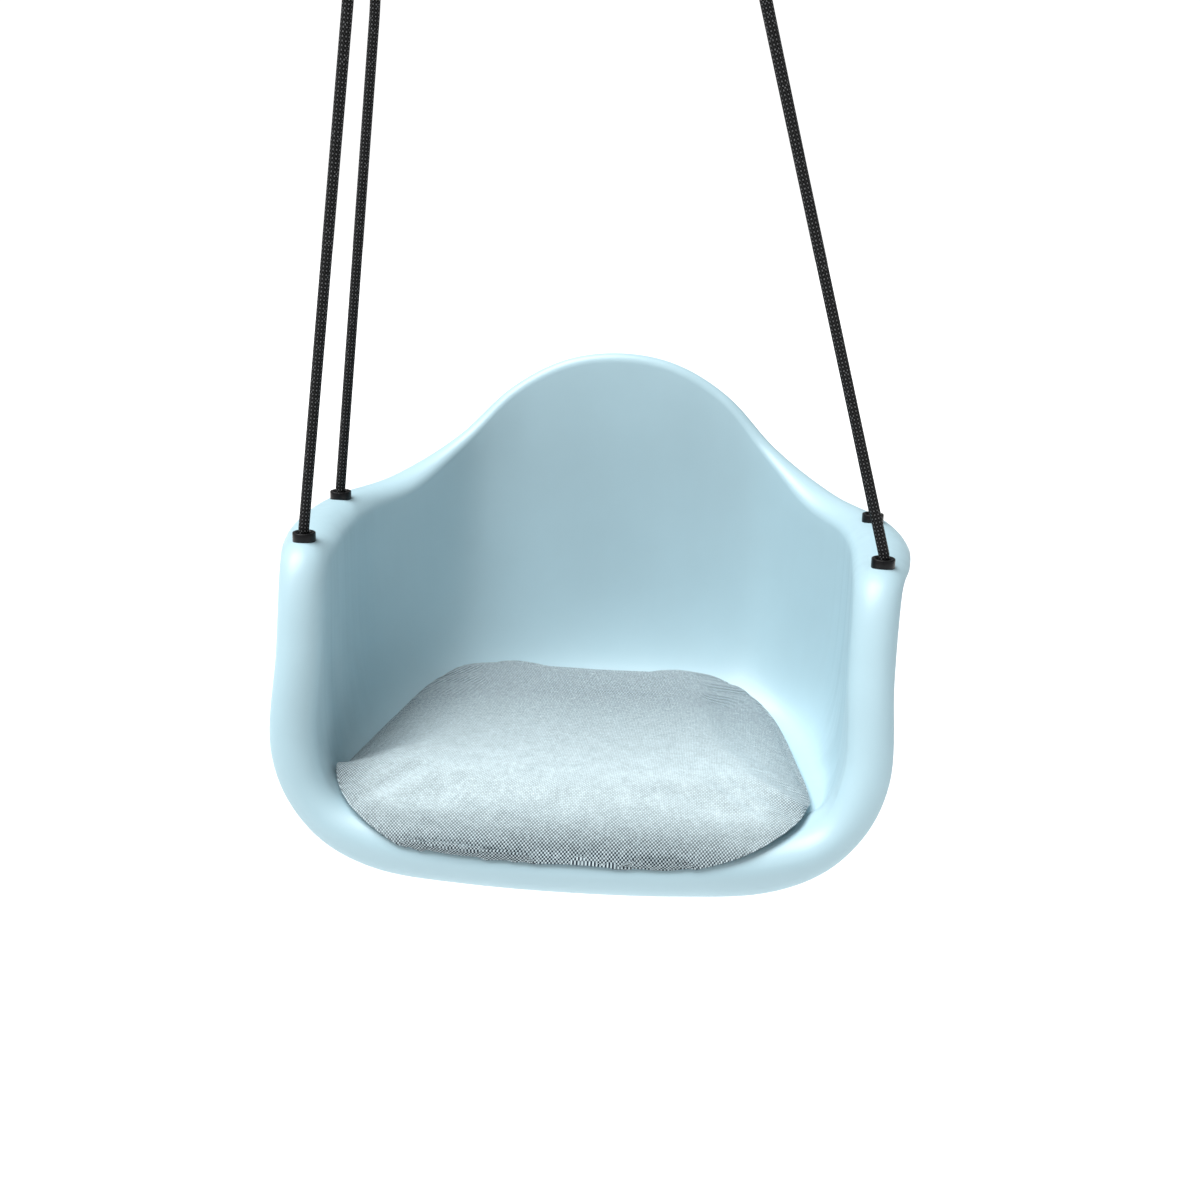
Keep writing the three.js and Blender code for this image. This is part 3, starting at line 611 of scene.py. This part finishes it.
def rope_route(length):
    """Straight up, aside into the ferrule, round the thimble and back down into the ferrule."""
    eye = length - EYE_DROP
    throat = eye - THROAT_RISE
    ferrule_low = throat - FERRULE_GAP - FERRULE_LENGTH
    bend_low = ferrule_low - BEND_LENGTH
    side = STRAND_OFFSET + THROAT_R
    points = [(0.0, 0.0, bend_low * i / 60) for i in range(61)]
    for i in range(1, 17):
        aside = STRAND_OFFSET * (1 - math.cos(i / 16 * math.pi)) / 2
        points.append((0.0, -aside, bend_low + i / 16 * (ferrule_low - bend_low)))
    points += [(0.0, -STRAND_OFFSET, ferrule_low + FERRULE_LENGTH * i / 4) for i in range(1, 4)]
    points += arc(-side, throat, THROAT_R, 0, THROAT_ANGLE, 8)
    points += arc(0, eye, EYE_R, math.pi + THROAT_ANGLE, -THROAT_ANGLE, 44)[1:]
    points += arc(side, throat, THROAT_R, math.pi - THROAT_ANGLE, math.pi, 8)[1:]
    points += [(0.0, STRAND_OFFSET, ferrule_low + FERRULE_LENGTH * i / 4) for i in (3, 2, 1)]
    points.append((0.0, STRAND_OFFSET, ferrule_low + ROPE_END_INSIDE))
    return metres(points)


HOOK_BEND_R = 16
HOOK_SIDE = 32
HOOK_WIRE_R = 4
GATE_PIN_Z = 21.5


def hook_mesh():
    """A wire bent to a long loop, open on one side where the gate closes it."""
    bend, nose, pin = HOOK_BEND_R, HOOK_BEND_R + HOOK_SIDE, GATE_PIN_Z
    line = [(0.0, bend, pin - 4.5)]
    line += arc(0, bend, bend, 0, -math.pi, 28)
    line += [(0.0, -bend, bend + HOOK_SIDE * i / 8) for i in range(1, 8)]
    line += arc(0, nose, bend, math.pi, 0, 28)
    wire = tube(metres(line), HOOK_WIRE_R * MM, sides=20)
    bmesh.ops.rotate(wire, cent=(0, 0, 0), matrix=Matrix.Rotation(-math.pi / 2, 3, "Z"), verts=wire.verts[:])
    tang = block((5.4, 3.0, 9), (bend, 0, pin - 1.5))
    tongue = block((3.4, 2.4, 5), (bend + 0.8, 0, nose - 1.9))
    return joined([wire, tang, tongue])


# ---------------------------------------------------------------- shell surface

SEAT_CENTRE_Y = -12
SEAT_LOW_Y = 30
SEAT_PULL = 0.19
ROLL_END = 1.05
FIELDS = ("at_x", "at_y", "at_z", "seat_x", "seat_y", "climb", "turn", "over", "out", "on", "back", "pull")
STATIONS = (
    (0, -198, 0, 0, -152, -6, 0, 34, 22, 18, 5, 0.5),
    (98, -194, 0, 84, -152, -5, 0, 33, 22, 18, 5, 0.5),
    (170, -186, 5, 146, -150, -1, 12, 30, 24, 18, 5, 0.45),
    (219, -179, 20, 196, -150, 0, 46, 24, 21, 13, 5, 0.35),
    (239, -164, 66, 219, -130, 8, 80, 22, 24, 16, 6, 0.35),
    (239, -140, 140, 224, -96, 25, 90, 20, 24, 16, 8, 0.3),
    (241, -106, 204, 222, -60, 58, 90, 22, 25, 18, 10, 0.35),
    (244, -50, 215, 214, -20, 88, 90, 20, 27, 26, 12, 0.5),
    (247, 20, 217, 209, 24, 90, 90, 20, 28, 28, 12, 0.54),
    (240, 85, 220, 197, 66, 92, 102, 19, 26, 26, 10, 0.54),
    (208, 148, 230, 170, 102, 95, 120, 16, 22, 18, 6, 0.54),
    (165, 212, 268, 133, 119, 98, 145, 13, 12, 9, 3, 0.54),
    (118, 242, 318, 92, 126, 101, 160, 12, 10, 7, 2, 0.54),
    (62, 254, 350, 47, 129, 102, 172, 12, 10, 7, 2, 0.54),
    (0, 257, 360, 0, 130, 102, 180, 12, 10, 7, 2, 0.54),
)
LAST = len(STATIONS) - 1


def station_value(index, field):
    sign = 1
    if index < 0 or index > LAST:
        index = -index if index < 0 else 2 * LAST - index
        sign = -1 if field in (0, 3) else 1
    return sign * STATIONS[index][field]


def along(s, field):
    """Smooth curve through the stations' values."""
    i = min(int(s), LAST - 1)
    t = s - i
    a, b, c, d = (station_value(i + k, field) for k in (-1, 0, 1, 2))
    second, third = 2 * a - 5 * b + 4 * c - d, 3 * b - a - 3 * c + d
    return 0.5 * (2 * b + (c - a) * t + second * t * t + third * t ** 3)


def seat_height(x, y):
    fore = (y - SEAT_LOW_Y) / (180 if y < SEAT_LOW_Y else 95)
    return (4 if y < SEAT_LOW_Y else 14) * fore * fore + 6 * (x / 195) ** 2


def profile_at(s):
    """Everything that one profile of the shell needs, at a position between the stations."""
    p = {name: along(s, i) for i, name in enumerate(FIELDS)}
    climb = math.radians(p["climb"])
    wall = Vector((0, -math.cos(climb), math.sin(climb)))
    down = math.radians(min(p["turn"], 90))
    rearward = math.radians(max(p["turn"] - 90, 0))
    roll = Vector((math.sin(down) * math.cos(rearward), math.sin(rearward), -math.cos(down)))
    roll = (roll - wall * roll.dot(wall)).normalized()
    seat = Vector((p["seat_x"], p["seat_y"], seat_height(p["seat_x"], p["seat_y"])))
    rim = Vector((p["at_x"], p["at_y"], p["at_z"]))
    return p | {"seat": seat, "rim": rim, "wall": wall, "roll": roll}


def profile_point(p, v):
    """v runs 0 to 1 over the seat, to 2 up the wall and to 4 round the rolled rim."""
    if v <= 1:
        x = p["seat"].x * v
        y = SEAT_CENTRE_Y + (p["seat"].y - SEAT_CENTRE_Y) * v
        return Vector((x, y, seat_height(x, y)))
    if v <= 2:
        reach = (p["rim"] - p["seat"]).length
        out = Vector((p["seat"].x, p["seat"].y - SEAT_CENTRE_Y, 0)).normalized()
        out.z = seat_height(p["seat"].x + out.x, p["seat"].y + out.y) - p["seat"].z
        a, d = p["seat"], p["rim"]
        b = a + out * SEAT_PULL * reach
        c = d - p["wall"] * p["pull"] * reach
        t = v - 1
        return a * (1 - t) ** 3 + b * 3 * t * (1 - t) ** 2 + c * 3 * t * t * (1 - t) + d * t ** 3
    if v <= 3:
        a = (v - 2) * math.pi / 2
        return p["rim"] + p["wall"] * p["over"] * math.sin(a) + p["roll"] * p["out"] * (1 - math.cos(a))
    a = (v - 3) * ROLL_END
    fall = p["back"] * (1 - math.cos(a)) / (1 - math.cos(ROLL_END))
    reach = p["out"] + p["on"] * math.sin(a) / math.sin(ROLL_END)
    return p["rim"] + p["wall"] * (p["over"] - fall) + p["roll"] * reach


def shell_sheet(per_station=10, seat_rows=8, wall_rows=20, roll_rows=12):
    """The shell's inner surface as one open sheet, its right half mirrored to the left."""
    columns = LAST * per_station
    profiles = [profile_at(i * LAST / columns) for i in range(columns + 1)]
    values = [i / seat_rows for i in range(seat_rows)]
    values += [1 + i / wall_rows for i in range(wall_rows)]
    values += [2 + 2 * i / (2 * roll_rows) for i in range(2 * roll_rows + 1)]

    def point(i, j):
        place = profile_point(profiles[i], values[j])
        if i in (0, columns):
            place.x = 0.0
        return SEAT + place * MM

    bm = skin(columns, len(values) - 1, point)
    bmesh.ops.translate(bm, vec=(-SEAT.x, 0, 0), verts=bm.verts[:])
    bmesh.ops.mirror(bm, geom=bm.verts[:] + bm.edges[:] + bm.faces[:], axis="X", merge_dist=1e-5)
    bmesh.ops.translate(bm, vec=(SEAT.x, 0, 0), verts=bm.verts[:])
    closed(bm, 1e-5)
    middle = min(bm.faces, key=lambda f: (f.calc_center_median() - SEAT).length)
    if middle.normal.z < 0:
        bmesh.ops.reverse_faces(bm, faces=bm.faces[:])
    return bm


# ---------------------------------------------------------------- cushion shape

PAD_FRONT, PAD_REAR = -229, 152
PAD_X, PAD_HALF_WIDTH, PAD_TAPER, PAD_SQUARE = -7, 235, 0.19, 4.3
PAD_HEIGHT, PAD_LIFT, PAD_CROWN = 29, 1.6, 3
PAD_WAIST, PAD_BOW = 7, 12
# The cloth gains this share of what the shell falls away over the last stretch to the outline.
DROP_FROM, DROP_SHARE = 0.93, 0.8
PAD_Y = (PAD_FRONT + PAD_REAR) / 2
PAD_HALF_DEPTH = (PAD_REAR - PAD_FRONT) / 2


def pad_plan(u, v):
    """A point of the square -1 to 1 on the cushion's plan: its place, its share of the way out
    to the outline, and the outline's outward direction there."""
    share = math.sin(max(abs(u), abs(v)) * math.pi / 2)
    norm = (abs(u) ** PAD_SQUARE + abs(v) ** PAD_SQUARE) ** (1 / PAD_SQUARE) or 1.0
    across, back = share * u / norm, share * v / norm
    width = PAD_HALF_WIDTH * (1 - PAD_TAPER * (back + 1) / 2)
    bow = PAD_BOW * across ** 2 * max(-back, 0)
    place = Vector((PAD_X + across * width, PAD_Y + back * PAD_HALF_DEPTH + bow))
    steep = PAD_SQUARE - 1
    out = Vector((
        math.copysign(abs(across) ** steep, across) / width,
        math.copysign(abs(back) ** steep, back) / PAD_HALF_DEPTH,
    ))
    return place, share, out.normalized() if out.length > 0 else out


def height_over(tree, x, y, start=200):
    """Height of the shell's inner surface at a plan position, in the shell's millimetres.

    Past the shell's edge it is the height at the nearest place towards the middle.
    """
    for step in range(12):
        share = 1 - 0.02 * step
        origin = SEAT + Vector((x * share + 0.02, y * share + 0.01, start)) * MM
        hit = tree.ray_cast(origin, Vector((0, 0, -1)))[0]
        if hit:
            return (hit.z - SEAT.z) / MM
    raise RuntimeError(f"the shell has no surface near {x:.0f}, {y:.0f}")


def pad_top(share):
    """Height of the cushion's upper side at a share of the way out."""
    return PAD_WAIST + (PAD_HEIGHT - PAD_WAIST) * (1 - share ** 5) ** 0.5 + PAD_CROWN * (1 - share ** 2)


def pad_bottom(share):
    """Height of the cushion's lower side at a share of the way out."""
    return PAD_WAIST * (1 - (1 - share ** 14) ** 0.5)


def cloth_reach():
    """How much further out the cloth lies when it is spread flat, over the top and then below."""
    share = np.linspace(0, 1, 300)
    plan = share * (PAD_HALF_WIDTH + PAD_HALF_DEPTH) / 2
    top = np.array([pad_top(value) for value in share])
    bottom = np.array([pad_bottom(value) for value in share])
    over = np.concatenate([[0], np.cumsum(np.hypot(np.diff(plan), np.diff(top)))])
    back = np.cumsum(np.hypot(np.diff(plan[::-1]), np.diff(bottom[::-1])))
    under = over[-1] + np.concatenate([[0], back])[::-1]
    return share, over - plan, under - plan


def pad_mesh(tree, columns=104, rows=84):
    """The stuffed cushion before its cloth is let out: crowned above, following the seat below."""
    shares, reach_over, reach_under = cloth_reach()

    def sheet(rise, reaches):
        def at(i, j):
            return pad_plan(2 * i / columns - 1, 2 * j / rows - 1)

        def point(i, j):
            place, share, _ = at(i, j)
            height = height_over(tree, place.x, place.y) + PAD_LIFT + rise(share)
            return SEAT + Vector((place.x, place.y, height)) * MM

        def laid(i, j):
            place, share, out = at(i, j)
            inner = place * DROP_FROM
            drop = height_over(tree, inner.x, inner.y) - height_over(tree, place.x, place.y)
            reach = float(np.interp(share, shares, reaches)) + DROP_SHARE * max(drop, 0.0)
            return (place + out * reach) * MM

        return skin(columns, rows, point, laid)

    return closed(joined([sheet(pad_top, reach_over), sheet(pad_bottom, reach_under)]), 1e-5)


HELD_BELOW = -0.35
LAST_FRAME = 20


def let_out(obj, limit):
    """Lets the stuffing press the cloth out for a moment, and keeps the shape it takes."""
    held = obj.vertex_groups.new(name="Held")
    normals = [v.normal.copy() for v in obj.data.vertices]
    rest = [v.co.copy() for v in obj.data.vertices]
    for vert, normal in zip(obj.data.vertices, normals):
        held.add([vert.index], 1.0 if normal.z < HELD_BELOW else 0.0, "REPLACE")
    cloth = obj.modifiers.new("Cloth", "CLOTH")
    cloth.settings.quality = 5
    cloth.settings.use_pressure = True
    cloth.settings.uniform_pressure_force = 4.0
    cloth.settings.tension_stiffness = 12.0
    cloth.settings.compression_stiffness = 8.0
    cloth.settings.bending_stiffness = 0.4
    cloth.settings.vertex_group_mass = "Held"
    cloth.settings.effector_weights.gravity = 0.0
    cloth.collision_settings.use_collision = False
    cloth.point_cache.frame_start, cloth.point_cache.frame_end = 1, LAST_FRAME
    scene = bpy.context.scene
    for number in range(1, LAST_FRAME + 1):
        scene.frame_set(number)
    evaluated = obj.evaluated_get(bpy.context.evaluated_depsgraph_get())
    moved = [v.co.copy() for v in evaluated.data.vertices]
    obj.modifiers.clear()
    obj.vertex_groups.clear()
    scene.frame_set(1)
    for vert, start, end in zip(obj.data.vertices, rest, moved):
        step = end - start
        if step.length > limit:
            step *= limit / step.length
        vert.co = start + step
    return obj


CREASES = (
    (-150, -128, 46, 1.3, 0.05), (90, -150, 60, 0.9, -0.03), (150, -196, 44, 1.1, 0.02),
    (-20, -60, 90, 0.7, 0.04), (-96, -206, 70, 1.0, -0.02), (60, 66, 80, 0.6, 0.03),
)


def crease(obj):
    """Shallow folds across the cushion, as stuffed cloth takes when it has been sat on."""
    for vert in obj.data.vertices:
        x, y = (vert.co.x - SEAT.x) / MM, (vert.co.y - SEAT.y) / MM
        fall = 0.0
        for cx, cy, reach, depth, slope in CREASES:
            across = (y - cy - slope * (x - cx) - 2.0 * math.sin((x - cx) / 17)) / 3.4
            along_it = (x - cx) / reach
            fall += depth * math.exp(-across * across) * math.exp(-along_it ** 4)
            fall -= 0.5 * depth * math.exp(-(across - 2.2) ** 2 / 2) * math.exp(-along_it ** 4)
        if vert.normal.z > 0.1:
            vert.co.z -= fall * MM
    return obj


def keep_clear(obj, tree, gap=0.7):
    """Moves cloth off the shell wherever it would run into it."""
    for vert in obj.data.vertices:
        place, normal, _, distance = tree.find_nearest(vert.co)
        if place is None or distance > 0.02:
            continue
        height = (vert.co - place).dot(normal)
        if height < gap * MM:
            vert.co += normal * (gap * MM - height)
    return obj


# ---------------------------------------------------------------- operators


class SwingOperator:
    bl_options = {"REGISTER", "UNDO"}

    def execute(self, context):
        self.build(context.scene.swing_sizes, context.scene.swing_colours)
        return {"FINISHED"}


CAMERA_PLACE = Vector((112.73, -1415.13, 596.21))
CAMERA_TARGET = Vector((4.13, 3.67, 160.98))
CAMERA_ROLL = math.radians(1.463)


class SWING_OT_camera(SwingOperator, bpy.types.Operator):
    """Places the camera a little above the seat, in front of it"""

    bl_idname = "swing.camera"
    bl_label = "Camera"

    def build(self, sizes, colours):
        data = bpy.data.cameras.new("Camera")
        data.lens = 45.0
        data.sensor_width = 36.0
        camera = bpy.data.objects.new("Camera", data)
        place = SEAT + CAMERA_PLACE * MM
        target = SEAT + CAMERA_TARGET * MM
        forward = (target - place).normalized()
        right = forward.cross(Vector((0, 0, 1))).normalized()
        up = right.cross(forward)
        across = right * math.cos(CAMERA_ROLL) + up * math.sin(CAMERA_ROLL)
        upward = up * math.cos(CAMERA_ROLL) - right * math.sin(CAMERA_ROLL)
        turn = Matrix((across, upward, -forward)).transposed().to_4x4()
        camera.matrix_world = Matrix.Translation(place) @ turn
        bpy.context.scene.collection.objects.link(camera)
        bpy.context.scene.camera = camera


class SWING_OT_ropes(SwingOperator, bpy.types.Operator):
    """Builds the braided ropes, each with the eye spliced round its thimble"""

    bl_idname = "swing.ropes"
    bl_label = "Ropes"

    def build(self, sizes, colours):
        finish = rope_finish(tuple(colours.rope), tuple(colours.fleck), sizes.rope_diameter)
        for corner in CORNERS:
            line = Line(corner)
            place = line.place()
            path = [place @ p for p in rope_route(line.length)]
            rope = finished(tube(path, sizes.rope_diameter / 2, sides=24, round_ends=True), f"braid_{corner}")
            dress(rope, finish, line.body, "rope_black", f"rope_{corner}")
            length = sum((b - a).length for a, b in zip(path, path[1:]))
            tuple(line.low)


class SWING_OT_fittings(SwingOperator, bpy.types.Operator):
    """Finishes the thimbles, ferrules, gates, pins and lock nuts"""

    bl_idname = "swing.fittings"
    bl_label = "Rope Fittings"

    def build(self, sizes, colours):
        for corner in CORNERS:
            for node, finish in (
                (f"thimble_{corner}", zinc()), (f"ferrule_{corner}", black_steel()),
                (f"gate_{corner}", zinc()), (f"gate_pin_{corner}", zinc()),
                (f"lock_nut_{corner}", plastic_finish()),
            ):
                obj = frame["nodes"][node]
                obj.data.materials.clear()
                obj.data.materials.append(finish)


class SWING_OT_hooks(SwingOperator, bpy.types.Operator):
    """Builds the snap hooks that the lines hang from"""

    bl_idname = "swing.hooks"
    bl_label = "Snap Hooks"

    def build(self, sizes, colours):
        for corner in CORNERS:
            line = Line(corner)
            hook = finished(line.put(hook_mesh(), line.high), f"hook_wire_{corner}")
            soften(hook, 0.5, 2, 50)
            dress(hook, zinc(), "hooks", "zinc_steel", f"snap_hook_{corner}")


class SWING_OT_shell(SwingOperator, bpy.types.Operator):
    """Builds the moulded shell with its rolled rim"""

    bl_idname = "swing.shell"
    bl_label = "Shell"

    def build(self, sizes, colours):
        shell = finished(shell_sheet(), "shell_moulding")
        wall = shell.modifiers.new("Wall", "SOLIDIFY")
        wall.thickness = sizes.shell_wall
        wall.offset = -1.0
        wall.use_even_offset = False
        soften(shell, 1.2, 3, 60)
        dress(shell, shell_finish(tuple(colours.shell)), "seat", "shell_blue", "seat_shell")


class SWING_OT_cushion(SwingOperator, bpy.types.Operator):
    """Builds the stuffed cushion and lays its woven cloth"""

    bl_idname = "swing.cushion"
    bl_label = "Cushion"

    def build(self, sizes, colours):
        sheet = shell_sheet(6, 6, 14, 8)
        tree = BVHTree.FromBMesh(sheet)
        cushion = finished(pad_mesh(tree), "cushion")
        let_out(cushion, sizes.cushion_swell)
        crease(cushion)
        keep_clear(cushion, tree)
        sheet.free()
        for polygon in cushion.data.polygons:
            polygon.use_smooth = True
        smooth = cushion.modifiers.new("Subdivision", "SUBSURF")
        smooth.levels = smooth.render_levels = 1
        finish = cloth_finish(tuple(colours.yarn_light), tuple(colours.yarn_dark), sizes.yarn_pitch)
        dress(cushion, finish, "seat", "cushion_weave", "cushion_cover", "cushion_foam", "cushion_base")


COLLAR_HEIGHT = 9


class SWING_OT_bushings(SwingOperator, bpy.types.Operator):
    """Builds the bushings that lead the ropes through the armrests, and their washers"""

    bl_idname = "swing.bushings"
    bl_label = "Bushings"

    def build(self, sizes, colours):
        for corner in CORNERS:
            foot = collar_top(corner) - Vector((0, 0, COLLAR_HEIGHT * MM))
            profile = (
                (6.6, -22), (8, -22), (8, 0), (10.8, 0), (10.8, 8.2), (10.5, 8.8), (9.9, 9), (8.9, 9),
                (8.3, 8.8), (6.9, 7.2), (6.6, 6.4),
            )
            bushing = turned(f"bushing_ring_{corner}", profile, foot, 72, bevel=0.25)
            dress(bushing, plastic_finish(), "seat", "black_plastic", f"bushing_{corner}")
            low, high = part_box(f"washer_{corner}")
            middle = (low + high) / 2
            washer = turned(
                f"washer_ring_{corner}", ((8.3, -1), (12, -1), (12, 1), (8.3, 1)), middle, 72, bevel=0.3,
            )
            dress(washer, zinc(), "seat", "zinc_steel", f"washer_{corner}")


TAIL_LENGTH = 12
KNOT_HALF_HEIGHT = 15


class SWING_OT_knots(SwingOperator, bpy.types.Operator):
    """Builds the rope's end through each bushing, with its stopper knot and tail"""

    bl_idname = "swing.knots"
    bl_label = "Stopper Knots"

    def build(self, sizes, colours):
        finish = rope_finish(tuple(colours.rope), tuple(colours.fleck), sizes.rope_diameter)
        radius = sizes.rope_diameter / 2
        for corner in CORNERS:
            low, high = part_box(f"stopper_knot_{corner}")
            middle = Vector(((low.x + high.x) / 2, (low.y + high.y) / 2, 0))
            top = collar_top(corner).z + PIVOT_ABOVE_COLLAR
            knot_middle = low.z + (TAIL_LENGTH + KNOT_HALF_HEIGHT) * MM
            lead = [middle + Vector((0, 0, top - (top - knot_middle) * i / 12)) for i in range(13)]
            tail = [middle + Vector((0, 0, knot_middle - (knot_middle - low.z) * i / 6)) for i in range(7)]
            turns = []
            for i in range(97):
                a = 2 * math.pi * i / 96
                turns.append(middle + Vector((
                    2.5 * (math.sin(a) + 2 * math.sin(2 * a)),
                    2.5 * (math.cos(a) - 2 * math.cos(2 * a)),
                    -9.6 * math.sin(3 * a),
                )) * MM + Vector((0, 0, knot_middle)))
            parts = [
                tube(lead, radius, sides=20, round_ends=True),
                tube(turns, radius, sides=20, loop=True),
                tube(tail, radius, sides=20),
            ]
            knot = finished(joined(parts), f"knotted_end_{corner}")
            dress(knot, finish, "seat", "rope_black", f"stopper_knot_{corner}")


FLOOR_DROP = 1.6
FILL_STRENGTH, BACKDROP_STRENGTH = 0.19, 1.1
# Each light's name, the way it lies from the seat, its width in degrees and its strength.
LIGHTS = (
    ("Key", (-0.52, -0.04, 1.2), 45, 4.6),
    ("Top", (0.1, -0.5, 1.0), 80, 0.75),
)


class SWING_OT_stage(SwingOperator, bpy.types.Operator):
    """Lays the pale floor and hangs the soft studio lights"""

    bl_idname = "swing.stage"
    bl_label = "Stage"

    def build(self, sizes, colours):
        material, _, shader = new_material("Studio Floor", Roughness=0.9)
        shader.inputs["Base Color"].default_value = tuple(colours.floor)
        bm = bmesh.new()
        bmesh.ops.create_grid(bm, x_segments=8, y_segments=8, size=30.0)
        bmesh.ops.translate(bm, vec=(SEAT.x, SEAT.y, CAD_BOX[0].z - FLOOR_DROP), verts=bm.verts[:])
        floor = finished(bm, "floor")
        floor.data.materials.append(material)
        world = bpy.data.worlds.new("Studio")
        world.use_nodes = True
        sky = Graph(world.node_tree)
        background = world.node_tree.nodes["Background"]
        background.inputs["Color"].default_value = (1.0, 1.0, 1.0, 1)
        seen = sky.node("ShaderNodeLightPath").outputs["Is Camera Ray"]
        sky.put(background.inputs["Strength"], sky.spread(seen, 0.0, 1.0, FILL_STRENGTH, BACKDROP_STRENGTH))
        bpy.context.scene.world = world
        for name, place, spread, power in LIGHTS:
            data = bpy.data.lights.new(name, "SUN")
            data.angle = math.radians(spread)
            data.energy = power
            light = bpy.data.objects.new(name, data)
            light.location = SEAT + Vector(place) * 2
            light.rotation_euler = (-Vector(place)).to_track_quat("-Z", "Y").to_euler()
            bpy.context.scene.collection.objects.link(light)
        view = bpy.context.scene.view_settings
        view.view_transform = "Standard"
        view.look = "None"


class SWING_PT_panel(bpy.types.Panel):
    bl_idname = "SWING_PT_panel"
    bl_label = "Swing"
    bl_space_type = "VIEW_3D"
    bl_region_type = "UI"
    bl_category = "Swing"

    def draw(self, context):
        layout = self.layout
        for group in (context.scene.swing_sizes, context.scene.swing_colours):
            box = layout.box()
            for name in group.__annotations__:
                box.prop(group, name)
        for operator in OPERATORS:
            layout.operator(operator.bl_idname)


OPERATORS = (
    SWING_OT_camera, SWING_OT_ropes, SWING_OT_fittings, SWING_OT_hooks, SWING_OT_shell,
    SWING_OT_cushion, SWING_OT_bushings, SWING_OT_knots, SWING_OT_stage,
)
CLASSES = (SwingSizes, SwingColours, *OPERATORS, SWING_PT_panel)


def register():
    for cls in CLASSES:
        bpy.utils.register_class(cls)
    bpy.types.Scene.swing_sizes = PointerProperty(type=SwingSizes)
    bpy.types.Scene.swing_colours = PointerProperty(type=SwingColours)


def unregister():
    del bpy.types.Scene.swing_colours
    del bpy.types.Scene.swing_sizes
    for cls in reversed(CLASSES):
        bpy.utils.unregister_class(cls)


def main():
    register()
    for operator in OPERATORS:
        getattr(bpy.ops.swing, operator.bl_idname.split(".")[1])()


if __name__ == "__main__":
    main()
